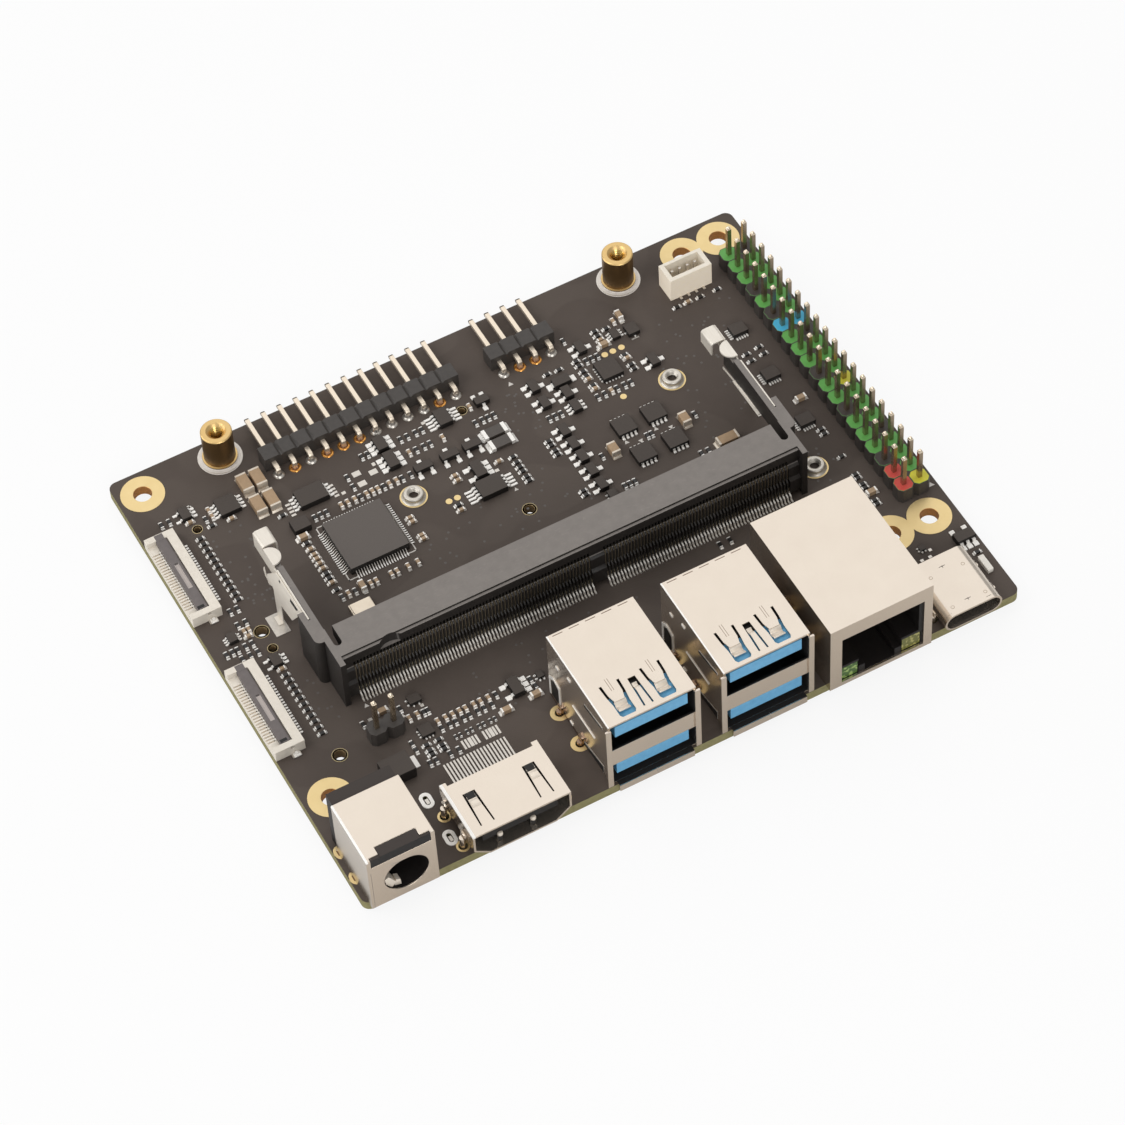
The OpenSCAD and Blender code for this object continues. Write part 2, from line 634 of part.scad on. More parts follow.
// Stacked port shell with its left wall at x
module stack_shell(x) {
    x1 = x + stack_w;
    y1 = stack_y0 + stack_depth;
    t = shell_t;
    bar0 = t + slot_h;
    difference() {
        block([x, stack_y0, seat_z], [x1, y1, stack_h]);
        block([x + t, stack_y0 - 1, seat_z + t], [x1 - t, y1 - t, bar0]);
        block([x + t, stack_y0 - 1, bar0 + stack_bar_h], [x1 - t, y1 - t, stack_h - t]);
        block([x + t, stack_y0 + t, seat_z + t], [x1 - t, y1 - t, stack_h - t]);
        // Spring fingers cut from the roof
        for (c = [x + 3.55, x + stack_w - 3.55]) translate([c, stack_y0, 0]) stack_finger_cut();
        translate([x + stack_w / 2, stack_y0, 0]) stack_tab_cut();
    }
    // Flared edges and front lip
    block([x - 0.5, stack_y0 - 0.3, seat_z], [x + t, stack_y0 + eps, stack_h - 0.6]);
    block([x1 - t, stack_y0 - 0.3, seat_z], [x1 + 0.5, stack_y0 + eps, stack_h - 0.6]);
    block([x + 0.9, stack_y0 - 0.9, -0.9], [x + stack_w - 0.9, stack_y0 - 0.6, 0.3]);
    block([x + 0.9, stack_y0 - 0.9, seat_z], [x + stack_w - 0.9, stack_y0 + eps, 0.3]);
    for (s = [0, 1], y = stack_leg_y) {
        lx = s == 0 ? x - 0.35 : x1 + 0.35;
        leg([lx, y], 0.6);
        block([s == 0 ? x - 0.35 : x1 - eps, y - 0.5, 0.3], [s == 0 ? x + eps : x1 + 0.35, y + 0.5, 1.6]);
    }
}

// Opening round a finger, which hangs from its back end
module stack_finger_cut() {
    translate([0, 0, stack_h - 2 * shell_t]) linear_extrude(3 * shell_t) difference() {
        polygon([[-1.5, 6.25], [-1.4, 4.3], [-1.2, 2.8], [-1.2, 1], [-0.95, 0.6], [0.95, 0.6], [1.2, 1],
            [1.2, 2.8], [1.4, 4.3], [1.5, 6.25]]);
        polygon([[-1.15, 7], [-1.05, 4.4], [-0.75, 3.2], [0.75, 3.2], [1.05, 4.4], [1.15, 7]]);
    }
}

// Opening round the middle tab, which stands on its front end
module stack_tab_cut() {
    translate([0, 0, stack_h - 2 * shell_t]) linear_extrude(3 * shell_t)
        polygon([[-0.75, 0.8], [-0.5, 0.8], [-0.35, 3.8], [0.35, 3.8], [0.5, 0.8], [0.75, 0.8],
            [0.55, 5.65], [-0.55, 5.65]]);
}

// Blue tongues with the block that holds them
module stack_tongues(x) {
    t = shell_t;
    z_low = t + slot_h;
    x0 = x + t + 0.02;
    x1 = x + stack_w - t - 0.02;
    y1 = stack_y0 + stack_depth - t - 0.02;
    block([x0, stack_y0 + 9, seat_z + t + 0.02], [x1, y1, stack_h - t - 0.7]);
    for (top = [z_low - 0.15, stack_h - t - 0.4])
        block([x0 + 0.7, stack_y0 + 0.1, top - 2.2], [x1 - 0.9, stack_y0 + 9 + eps, top]);
}

module stack_shell_left() { color([0.87, 0.84, 0.79]) placed() stack_shell(stack_x[0]); }
module stack_shell_right() { color([0.87, 0.84, 0.79]) placed() stack_shell(stack_x[1]); }
module stack_tongues_left() { color([0.2, 0.5, 0.75]) placed() stack_tongues(stack_x[0]); }
module stack_tongues_right() { color([0.2, 0.5, 0.75]) placed() stack_tongues(stack_x[1]); }

network_mouth = [[1.8, 0.8], [network_w - 1.3, network_h - 2.75]];
module network_shell() {
    color([0.88, 0.85, 0.8]) placed() translate([network_x0, -front_overhang, 0]) {
        t = shell_t;
        difference() {
            block([0, 0, seat_z], [network_w, network_depth, network_h]);
            block([t, t, -1], [network_w - t, network_depth - t, network_h - t]);
            block([network_mouth[0][0], -1, network_mouth[0][1]], [network_mouth[1][0], 2, network_mouth[1][1]]);
        }
    }
    color([0.88, 0.85, 0.8]) placed() for (p = network_legs) {
        leg(p, 0.8);
        block([p[0] < 75 ? p[0] : network_x0 + network_w - eps, p[1] - 0.5, 0.3],
            [p[0] < 75 ? network_x0 + eps : p[0], p[1] + 0.5, 1.8]);
    }
}

// Black moulding: floor, side walls and back, with the stepped notch for the plug's latch
module network_insert() {
    color([0.07, 0.07, 0.07]) placed() translate([network_x0, -front_overhang, 0]) {
        t = shell_t + 0.02;
        difference() {
            block([t, t, seat_z], [network_w - t, network_depth - t, network_h - t]);
            block([1.9, -1, 3.9], [network_w - 1.9, 12, network_h - 2.4]);
            block([4.6, -1, 2.2], [network_w - 4.6, 12, 4]);
            block([5.6, -1, 0.9], [network_w - 5.6, 12, 2.3]);
            for (x = [1.55, network_w - 4.55]) block([x, -1, 0.8], [x + 3, 4.4, 3.4]);
        }
    }
}

module network_lamps() {
    color([0.6, 0.75, 0.3]) placed() translate([network_x0, -front_overhang, 0])
        for (x = [1.65, network_w - 4.45]) block([x, 0.4, 0.9], [x + 2.8, 4.3, 3.3]);
}

module network_wires() {
    color([0.85, 0.68, 0.35]) placed() {
        for (i = [0 : 7]) {
            x = network_x0 + network_w / 2 + (i - 3.5) * 1.02;
            translate([0, -front_overhang, 0]) along_x(x - 0.15, x + 0.15)
                polygon([[4.2, network_h - 2.41], [11.9, network_h - 4.6], [11.9, network_h - 4.9], [4.2, network_h - 2.71]]);
        }
        for (p = network_pins) translate([p[0], p[1], 0.3 - board_t - tail_len])
            cylinder(h = board_t + tail_len - 0.3, d = 0.5, $fn = 16);
    }
}

// Oval port: a rounded tube and the tongue in its middle
module oval_outline(w, h) {
    translate([-w / 2 + h / 2, 0]) circle(d = h);
    translate([w / 2 - h / 2, 0]) circle(d = h);
    square([w - h, h], center = true);
}

module oval_shell() {
    color([0.87, 0.83, 0.77]) placed() {
        translate([oval_x, 0, oval_h / 2 + 0.1]) along_y(oval_y0, oval_y0 + oval_depth) difference() {
            oval_outline(oval_w, oval_h);
            oval_outline(oval_w - 2 * shell_t, oval_h - 2 * shell_t);
        }
        for (p = oval_legs) {
            leg([p[0], p[1]], 0.9);
            block([min(p[0], oval_x + sign(p[0] - oval_x) * (oval_w / 2 - 0.1)), p[1] - 0.4, 0.8],
                [max(p[0], oval_x + sign(p[0] - oval_x) * (oval_w / 2 - 0.1)), p[1] + 0.4, 1.7]);
        }
    }
}

module oval_tongue() {
    color([0.1, 0.1, 0.1]) placed() translate([oval_x, 0, oval_h / 2 + 0.1]) {
        along_y(oval_y0 + 5.4, oval_y0 + oval_depth) oval_outline(oval_w - 2 * shell_t - 0.02, oval_h - 2 * shell_t - 0.02);
        along_y(oval_y0 + 1, oval_y0 + 5.4 + eps) square([6.2, 0.7], center = true);
    }
}

// Video port: flat roof, straight upper sides and a narrower floor
function video_points(i) = [[i, video_h - i], [i, 2 + i * 0.3], [2.3 + i * 0.4, 0.1 + i],
    [video_w - 2.3 - i * 0.4, 0.1 + i], [video_w - i, 2 + i * 0.3], [video_w - i, video_h - i]];

module video_shell() {
    color([0.87, 0.84, 0.79]) placed() {
        difference() {
            translate([video_x0, 0, 0]) along_y(video_y0, video_y0 + video_depth) difference() {
                polygon(video_points(0));
                polygon(video_points(shell_t));
            }
            // Spring fingers in the roof
            for (c = [video_x0 + 2.85, video_x0 + video_w - 2.85])
                translate([c, video_y0, video_h - 2 * shell_t]) linear_extrude(3 * shell_t) polygon([
                    [-1.05, 1.2], [-0.85, 1.2], [-0.62, 5.6], [-0.62, 6.1], [0.62, 6.1], [0.62, 5.6],
                    [0.85, 1.2], [1.05, 1.2], [0.9, 6.7], [-0.9, 6.7]]);
        }
        for (x = [video_x0 - 0.3, video_x0 + video_w - 0.9])
            block([x + (x < video_x0 ? 0.3 : 0), video_y0 + video_depth, video_h - 2], [x + (x < video_x0 ? 1.2 : 0.9), video_y0 + video_depth + 0.6, video_h]);
        for (p = video_legs) {
            leg(p, 2);
            block([min(p[0], video_x0 + (p[0] < video_x0 ? eps : video_w - eps)), p[1] - 0.5, 1.9],
                [max(p[0], video_x0 + (p[0] < video_x0 ? eps : video_w - eps)), p[1] + 0.5, 3]);
        }
    }
}

module video_insert() {
    color([0.08, 0.08, 0.08]) placed() {
        translate([video_x0, 0, 0]) along_y(video_y0 + 5.6, video_y0 + video_depth) polygon(video_points(shell_t + 0.02));
        block([video_x0 + 1.7, video_y0 + 0.8, 2.3], [video_x0 + video_w - 1.7, video_y0 + 5.6 + eps, 3.6]);
    }
}

module video_tails() {
    color([0.85, 0.84, 0.8]) placed() for (i = [0 : 18]) {
        x = video_x0 + video_w / 2 + 0.6 + (i - 9) * 0.5;
        block([x - 0.13, video_y0 + video_depth + 0.1, 0], [x + 0.13, video_y0 + video_depth + 6.4, 0.15]);
    }
}

// Power jack: metal cover over a black body, with a round mouth in the front plate
module jack_cover() {
    color([0.88, 0.86, 0.82]) placed() {
        t = shell_t;
        x1 = jack_x0 + jack_w;
        difference() {
            block([jack_x0, jack_y0, seat_z], [x1, jack_y0 + 10.2, jack_h]);
            block([jack_x0 + t, jack_y0 + t, -1], [x1 - t, jack_y0 + 11, jack_h - t]);
            translate([jack_mouth_x, jack_y0 - 1, jack_mouth_z]) rotate([-90, 0, 0]) cylinder(h = 3, d = jack_mouth_d);
            block([jack_x0 + 0.6, jack_y0 - 1, 9.3], [x1 - 0.6, jack_y0 + 0.5, jack_h + 1]);
            block([jack_x0 + 2, jack_y0 - 1, jack_h - 1], [x1 - 2, jack_y0 + 1.7, jack_h + 1]);
        }
        for (p = jack_legs) {
            block([jack_x0, p[1] - 0.6, -board_t - tail_len], [jack_x0 + shell_t, p[1] + 0.6, 0.2]);
        }
    }
}

module jack_body() {
    color([0.2, 0.19, 0.18]) placed() {
        t = shell_t + 0.02;
        x1 = jack_x0 + jack_w;
        difference() {
            union() {
                block([jack_x0 + t, jack_y0 + t, seat_z], [x1 - t, jack_y0 + jack_depth, jack_h - t]);
                block([jack_x0 + 0.62, jack_y0 + 0.05, 9.32], [x1 - 0.62, jack_y0 + 0.48, jack_h - 0.1]);
                block([jack_x0 + 2.02, jack_y0 + 0.05, jack_h - 0.98], [x1 - 2.02, jack_y0 + 1.68, jack_h]);
            }
            translate([jack_mouth_x, jack_y0 - 1, jack_mouth_z]) rotate([-90, 0, 0]) cylinder(h = 10.4, d = jack_mouth_d);
        }
        leg([jack_mouth_x, jack_y0 + jack_depth - 1.6], 0.2);
    }
}

module jack_pin() {
    color([0.85, 0.8, 0.7]) placed() translate([jack_mouth_x, jack_y0 + 3, jack_mouth_z])
        rotate([-90, 0, 0]) cylinder(h = 6.4, d = jack_pin_d);
}

module hub_chip() {
    color([0.3, 0.29, 0.28]) placed() translate([hub_x - hub_w / 2, hub_y - hub_w / 2, 0.1]) cube([hub_w, hub_w, hub_h - 0.1]);
}

// Gull wing lead, pointing to +x from the chip's side
module gull(reach, h, w) {
    translate([0, w / 2, 0]) rotate([90, 0, 0]) linear_extrude(w) polygon([[0, h], [0.3 * reach, h],
        [0.5 * reach, 0.16], [reach, 0.16], [reach, 0], [0.4 * reach, 0], [0.2 * reach, h - 0.16], [0, h - 0.16]]);
}

module hub_leads() {
    color([0.85, 0.84, 0.8]) placed() translate([hub_x, hub_y, 0]) for (a = [0, 90, 180, 270]) rotate(a)
        for (i = [0 : hub_side - 1]) translate([hub_w / 2, (i - (hub_side - 1) / 2) * hub_pitch, 0]) gull(0.9, 0.7, 0.18);
}

// Small chips: x, y, width, depth, height, leads on each side, lead pitch, 1 when the leads are at the ends in y,
// reach of a lead, 1 when the middle lead of the first side is missing
chips = [
    [13, 67.6, 3, 3, 0.9, 4, 0.65, 0, 0.7, 0], [23.85, 63.2, 4.3, 3, 1.1, 4, 0.65, 0, 0.7, 0],
    [46.15, 51.9, 3.9, 3, 1.1, 4, 0.65, 0, 1.5, 0], [46.05, 66.2, 2, 2.9, 1, 4, 0.65, 0, 1.3, 0],
    [36.3, 66.45, 1.6, 2.5, 1, 3, 0.85, 0, 0.7, 0], [36.3, 63.05, 1.6, 2.9, 1.1, 3, 0.95, 0, 0.7, 0],
    [46.05, 55.4, 1.6, 2.9, 1.1, 3, 0.95, 0, 0.8, 1], [33.1, 20.3, 1.6, 2.9, 1.1, 3, 0.95, 0, 0.8, 1],
    [7.2, 69.2, 1.4, 2.1, 0.95, 3, 0.65, 0, 0.7, 1], [7.15, 40.5, 1.4, 2.1, 0.95, 3, 0.65, 0, 0.7, 1],
    [3.65, 46.85, 1.3, 1.6, 0.8, 3, 0.45, 0, 0.5, 0], [63.2, 58.6, 1.3, 2.1, 0.9, 3, 0.65, 0, 0.6, 0],
    [74.3, 67.4, 1.2, 1.8, 0.7, 3, 0.5, 0, 0.5, 0], [67.3, 52, 3, 3, 0.9, 4, 0.65, 1, 0.35, 0],
    [72.05, 52, 3, 3, 0.9, 4, 0.65, 1, 0.35, 0], [67.35, 46.4, 3, 3, 0.9, 4, 0.65, 1, 0.35, 0],
    [72.35, 46.4, 3, 3, 0.9, 4, 0.65, 1, 0.35, 0], [98.1, 11.5, 2.9, 1.6, 1.1, 3, 0.95, 1, 0.8, 1],
    [63.55, 63.5, 2.6, 1.5, 1, 1, 1.6, 0, 0.6, 0]];

// Flat chips: x, y, width, depth, height, contacts on the left and at the front, contact pitch, reach
flat_chips = [[70.4, 62.1, 3.2, 3.4, 0.9, 6, 0.5, 0.15], [89.8, 59.1, 2.4, 2, 0.9, 5, 0.4, 0.45],
    [89.7, 49.7, 2.4, 2, 0.9, 5, 0.4, 0.45], [89.7, 40.1, 2.4, 2, 0.9, 5, 0.4, 0.45],
    [20.4, 25.5, 1.8, 1.4, 0.7, 2, 0.8, 0.2], [76.8, 66.9, 1.8, 2, 0.8, 1, 1, 0.2], [60.2, 42.4, 1.3, 1.3, 0.7, 2, 0.6, 0.2],
    [19.5, 20.2, 1.9, 1.9, 0.7, 3, 0.5, 0.2], [36.95, 20.6, 1, 1.1, 0.5, 2, 0.6, 0.3], [92.2, 12.9, 0.9, 0.9, 0.4, 2, 0.5, 0.2]];

// Three-lead parts: x, y, turn, lead pitch; unturned, two leads are on the left and one on the right
sot_places = concat([for (y = [44.6, 47.4, 50.2, 52.8, 55.5, 61.3, 64.6]) [59.7, y, 0, 1.3]],
    [[63.3, 61.3, 0, 1.3], [76.7, 60.3, 0, 1.3], [68.8, 67.5, 0, 1.3], [52.2, 66.2, -90, 1.3],
    [39.65, 59.8, 90, 1.9], [43.75, 59.8, 90, 1.9], [47.3, 59.8, 90, 1.9]]);

module small_chips() {
    color([0.2, 0.19, 0.18]) placed() {
        for (c = concat(chips, flat_chips))
            block([c[0] - c[2] / 2, c[1] - c[3] / 2, 0.05], [c[0] + c[2] / 2, c[1] + c[3] / 2, c[4]]);
        for (p = sot_places) translate([p[0], p[1], 0]) rotate(p[2])
            block([-0.65, -p[3] / 2 - 0.4, 0.1], [0.65, p[3] / 2 + 0.4, 0.95]);
    }
}

module small_chip_leads() {
    color([0.85, 0.84, 0.8]) placed() {
        for (c = chips, s = [0, 1], i = [0 : c[5] - 1]) if (c[9] == 0 || s == 0 || i != 1)
            translate([c[0], c[1], 0]) rotate(s * 180 - 90 * c[7])
                translate([(c[7] == 0 ? c[2] : c[3]) / 2, (i - (c[5] - 1) / 2) * c[6], 0])
                    gull(c[8], c[4] * 0.55, c[6] * 0.5);
        for (c = flat_chips, i = [0 : c[5] - 1]) {
            k = (i - (c[5] - 1) / 2) * c[6];
            block([c[0] - c[2] / 2 - c[7], c[1] + k - 0.12, 0], [c[0] - c[2] / 2, c[1] + k + 0.12, 0.15]);
            block([c[0] + k - 0.12, c[1] - c[3] / 2 - c[7], 0], [c[0] + k + 0.12, c[1] - c[3] / 2, 0.15]);
        }
        for (p = sot_places) translate([p[0], p[1], 0]) rotate(p[2]) {
            for (v = [-p[3] / 2, p[3] / 2]) translate([-0.65, v, 0]) rotate(180) gull(0.65, 0.6, 0.42);
            translate([0.65, 0, 0]) gull(0.65, 0.6, 0.42);
        }
    }
}

// Large ceramic capacitors: x, y, width, depth, height
big_caps = concat([for (x = [16.7, 18.75], y = [board_d - 10, board_d - 14.3]) [x, y, 1.6, 3.1, 1.3]],
    [[78.6, 42.5, 3.2, 1.5, 1.2], [78.3, 26.8, 3.2, 1.6, 1.3], [64, 49, 1.3, 2, 1.2], [75.2, 48.7, 1.3, 2, 1.2]]);
module large_capacitors() {
    color([0.62, 0.5, 0.38]) placed()
        for (c = big_caps) block([c[0] - c[2] / 2, c[1] - c[3] / 2, 0], [c[0] + c[2] / 2, c[1] + c[3] / 2, c[4]]);
}

module inductor() {
    color([0.3, 0.29, 0.28]) placed() block([18.95, 58.2, 0], [21.5, 60.3, 1.2]);
}

module sense_resistors() {
    color([0.25, 0.24, 0.23]) placed() for (y = [58.3, 60.45]) block([49.4, y - 0.85, 0], [53.05, y + 0.85, 0.6]);
}

module crystal() {
    color([0.85, 0.8, 0.68]) placed() {
        block([19.7, 41.5, 0.02], [23, 43.7, 0.5]);
        block([19.85, 41.65, 0.5], [22.85, 43.55, 0.8]);
    }
}

module power_diode() {
    color([0.22, 0.21, 0.2]) placed() block([11, 14.4, 0.1], [15.2, 17.8, 2.1]);
}

// White light beside the oval port, with its solder foot
module power_light() {
    color([0.92, 0.9, 0.84]) placed() block([97.75, 4.7, 0], [98.65, 7.6, 0.8]);
}

// Places on a straight line: first x and y, step in x and y, count, 1 when the part is long in x
function line_of(x, y, dx, dy, n, flat) = [for (i = [0 : n - 1]) [x + i * dx, y + i * dy, flat]];
// Places in a row at y or in a column at x
function row_at(y, xs, flat) = [for (x = xs) [x, y, flat]];
function column_at(x, ys, flat) = [for (y = ys) [x, y, flat]];

resistor_places = concat(
    line_of(7.3, 64.5, 0, -1.09, 12, 1), line_of(7.3, 37.9, 0, -1.1, 11, 1),
    row_at(51.15, [5.4, 6.5], 0), row_at(48.55, [5.3, 6.5], 0), row_at(44.85, [1.8, 2.7, 3.5, 4.7, 5.7], 0),
    row_at(43.2, [3.4, 4.6, 5.75], 0), row_at(69.3, [3.6, 4.8], 0), [[9.4, 67.15, 0], [9.7, 65.75, 1], [18.95, 62.35, 1]],
    row_at(59.75, [22.65, 23.55, 24.45, 29.8, 33.4, 36.3, 37.6], 0), column_at(29.7, [63.75, 61.85], 0),
    row_at(66, [33.1, 34, 39.2, 40.3, 41.6, 42.6], 0), row_at(63.25, [40.3, 41.5, 42.5, 49.7, 50.8, 51.7, 52.6], 0),
    column_at(19.7, [56.35, 50.35, 49.45, 47.15], 1), row_at(45.65, [19.8, 21.8], 0),
    column_at(51.4, [55.25, 54.15, 53.2, 52.35, 51.25, 50.45], 1), [[40.9, 51.65, 1]],
    row_at(58.65, [59, 59.95, 60.9], 0), column_at(57, [55.15, 54.35, 53.25, 52.45, 45.05, 44.25], 1),
    [[62.55, 65.85, 1], [64.4, 65.75, 1], [67.4, 70.05, 0]], column_at(67.2, [65.85, 64.95, 63.75, 62.85, 60.85], 1),
    row_at(65.2, [68.5, 69.4, 70.3], 0), column_at(72.1, [69.35, 68.45], 1), [[73.8, 69, 1]],
    column_at(73.7, [63.45, 61.45, 60.55], 1), row_at(58.65, [66.8, 67.9, 69.9, 71.1, 72.1], 0),
    row_at(49.05, [62.2, 69.4, 70.1, 77], 0), row_at(42.85, [62.4, 63.2, 64], 0), row_at(42.45, [74.4, 75.5], 0),
    row_at(27.35, [68.7, 70.3], 0), column_at(88.7, [54.75, 53.35], 1), column_at(90.9, [55.05, 53.65], 1),
    column_at(90.9, [37.75, 36.85, 32.15, 28.45, 27.75, 26.5, 25.8, 23.25, 22.55], 1),
    row_at(67.35, [84.5, 88.3, 91.1], 1), [[98.4, 8.55, 1], [30.3, 20.75, 0], [35.5, 20.6, 0], [35.6, 19.35, 0]],
    row_at(19.6, [21.5, 22.7, 23.6, 24.8, 25.7, 26.95, 27.9, 29.1], 0),
    column_at(18.5, [18.15, 17.15, 16.45], 1), column_at(20.3, [18.15, 17.15, 16.45], 1),
    column_at(16.9, [19.3, 18.15], 0), row_at(15.35, [17.6, 18.5, 20.6, 21.9], 0),
    row_at(23.05, [20.6, 21.2], 0), [[18.1, 25.15, 0], [12.7, 25.35, 0]]);

capacitor_places = concat(
    [[7.3, 67.75, 1], [7.3, 39.05, 1], [5.8, 46.2, 1], [12.6, 65.45, 1]], row_at(47.2, [5.6, 6.3], 0),
    column_at(10.4, [68.3, 67.15], 0), column_at(19.7, [55.15, 54.05, 53.25, 52.35, 51.35, 48.55], 1),
    row_at(45.7, [20.8, 24.2, 25.1, 27.4, 28.3, 30, 31.5], 0),
    row_at(59.75, [26.8, 27.8, 28.9, 30.75, 31.65, 32.5, 34.3, 35.4], 0),
    row_at(63.25, [39.2, 44.5], 0), [[50.3, 66.25, 0], [49.3, 55.55, 1], [40.8, 50.65, 1]],
    column_at(42.8, [56.4, 55.5], 1), column_at(34, [53.05, 52.25, 49.55, 48.85], 1),
    column_at(67.2, [62.15, 60.15], 1), [[72.1, 67.55, 1], [75.3, 69.65, 0], [73.8, 62.75, 1], [69, 58.65, 0], [86.3, 67.35, 1]],
    row_at(20.75, [21.55, 22.75, 23.8, 24.85, 25.75, 27, 28, 29.2], 0), row_at(23.15, [18.5, 19.7], 0));

// Larger ceramic capacitors, 1.6 by 0.8
middle_cap_places = [[19.7, 57.4, 1], [23, 45.9, 0], [72.1, 66.5, 1], [76.5, 70.1, 0], [91.2, 43.9, 1],
    [91.2, 24.6, 1], [30.35, 17.7, 1], [35, 18, 1], [15.8, 25.9, 1]];

// Bare solder pads: x, y, width, depth
blank_pads = concat([[31.15, 63.8, 1.2, 0.9], [31.1, 61.85, 1.2, 0.9], [33.35, 62.9, 1.2, 0.9], [34, 64.1, 0.5, 0.6],
    [43.4, 67.1, 0.6, 0.5], [48.4, 54.4, 0.6, 0.5], [23, 44.8, 0.6, 0.4], [28.1, 61.7, 0.6, 0.5],
    [71, 66.2, 0.4, 0.5], [76.4, 69, 0.6, 0.5], [13.9, 25.7, 0.6, 0.5], [21, 24.3, 0.5, 0.5],
    [93.1, 12.2, 0.45, 0.45], [91.2, 11.2, 0.5, 0.4], [92.5, 11.2, 0.5, 0.4], [76.65, 65.5, 1.2, 0.25]],
    [for (y = [63.75, 63.05, 62.4, 61.75], x = [20.4, 27.1]) [x, y, 0.7, 0.35]],
    [for (x = [22.85, 23.35, 24.4, 24.9, 26, 26.5, 27.5, 28]) [x, 15.75, 0.3, 1.5]],
    [for (x = [23.9, 27]) [x, 15.75, 0.5, 1.5]]);

module chip_box(p, l, w, h) {
    translate([p[0], p[1], h / 2]) cube(p[2] == 1 ? [l, w, h] : [w, l, h], center = true);
}

// Smallest resistors, 0.7 by 0.35
tiny_places = row_at(17.4, [22.5, 23.2, 24.2, 24.9, 26, 26.7, 27.7, 28.4], 0);

module chip_resistors() {
    color([0.12, 0.12, 0.12]) placed() {
        for (p = resistor_places) chip_box(p, 1, 0.5, 0.35);
        for (p = tiny_places) chip_box(p, 0.7, 0.35, 0.25);
    }
}

module chip_capacitors() {
    color([0.72, 0.62, 0.48]) placed() {
        for (p = capacitor_places) chip_box(p, 1, 0.5, 0.5);
        for (p = middle_cap_places) chip_box(p, 1.6, 0.8, 0.8);
    }
}

module bare_pads() {
    color([0.88, 0.86, 0.82]) placed()
        for (p = blank_pads) translate([p[0], p[1], plating_t / 2]) cube([p[2], p[3], plating_t], center = true);
}

// Solder cone round a pin below the board
module solder_joints() {
    color([0.8, 0.79, 0.76]) placed() {
        for (s = [0, 1]) at_socket_end(s) block([-3, 44.2, 0], [-0.85, 47.9, 0.1]);
        for (p = concat(gpio_places, long_places, short_places, jumper_places))
            translate([p[0], p[1], -board_t]) rotate_extrude($fn = 16)
                polygon([[0.46, 0], [0.85, 0], [0.62, -0.35], [0.5, -0.8], [0.46, -0.8]]);
        for (x = [socket_mid_x - standoff_pitch / 2, socket_mid_x + standoff_pitch / 2])
            translate([x, standoff_y, 0]) difference() {
                cylinder(h = 0.12, d = standoff_base_d);
                translate([0, 0, -eps]) cylinder(h = 1, d = standoff_d + 0.52);
            }
    }
}

circuit_board();
plated_rings();
standoffs();
soldered_nuts();
module_socket();
socket_rear_contacts();
socket_front_contacts();
latch_left();
latch_right();
latch_anchor_left();
latch_anchor_right();
gpio_base();
gpio_colour_tops();
gpio_pins_node();
angled_base_long();
angled_pins_long();
angled_base_short();
angled_pins_short();
jumper_base();
jumper_pins();
ribbon_housing_front();
ribbon_flap_front();
ribbon_contacts_front();
ribbon_housing_back();
ribbon_flap_back();
ribbon_contacts_back();
ribbon_anchors();
fan_housing();
fan_pins();
stack_shell_left();
stack_tongues_left();
stack_shell_right();
stack_tongues_right();
network_shell();
network_insert();
network_lamps();
network_wires();
oval_shell();
oval_tongue();
video_shell();
video_insert();
video_tails();
jack_cover();
jack_body();
jack_pin();
hub_chip();
hub_leads();
small_chips();
small_chip_leads();
inductor();
large_capacitors();
sense_resistors();
crystal();
power_diode();
power_light();
chip_resistors();
chip_capacitors();
bare_pads();
solder_joints();
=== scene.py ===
import math
import random

import bmesh
import bpy
from mathutils import Matrix, Vector


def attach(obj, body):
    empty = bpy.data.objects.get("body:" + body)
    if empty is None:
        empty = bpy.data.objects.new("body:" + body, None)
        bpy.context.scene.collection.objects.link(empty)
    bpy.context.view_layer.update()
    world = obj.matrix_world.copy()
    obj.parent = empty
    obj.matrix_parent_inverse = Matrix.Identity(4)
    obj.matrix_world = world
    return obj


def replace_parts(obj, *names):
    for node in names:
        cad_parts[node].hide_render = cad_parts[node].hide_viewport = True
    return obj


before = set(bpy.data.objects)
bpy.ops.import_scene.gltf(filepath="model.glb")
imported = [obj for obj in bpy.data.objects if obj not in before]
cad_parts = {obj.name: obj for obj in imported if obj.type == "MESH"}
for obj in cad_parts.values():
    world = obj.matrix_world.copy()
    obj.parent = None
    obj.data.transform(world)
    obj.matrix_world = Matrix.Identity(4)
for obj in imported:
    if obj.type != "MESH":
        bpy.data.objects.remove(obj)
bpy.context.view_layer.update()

# The camera stands at the left front of the board and looks down on it through a long lens,
# about 0.6 m away. The picture is taken to be 1125 by 1125.
to_right = Vector((0.877774, -0.477211, -0.042214))
to_top = Vector((0.40525, 0.69263, 0.59669))
to_back = Vector((-0.255510, -0.540869, 0.801358))
lens = bpy.data.cameras.new("studio_camera")
lens.sensor_width = 36
lens.lens = 139.0518
lens.clip_start, lens.clip_end = 0.01, 20
camera = bpy.data.objects.new("studio_camera", lens)
stance = Matrix((to_right, to_top, to_back)).transposed().to_4x4()
camera.matrix_world = Matrix.Translation((-0.153471, -0.325476, 0.480009)) @ stance
bpy.context.collection.objects.link(camera)
scene = bpy.context.scene
scene.camera = camera
scene.view_settings.view_transform = "Standard"

# The floor is a plain pale sheet that shows white and keeps the shadow. Four soft lamps and the open sky of a
# studio light the board.


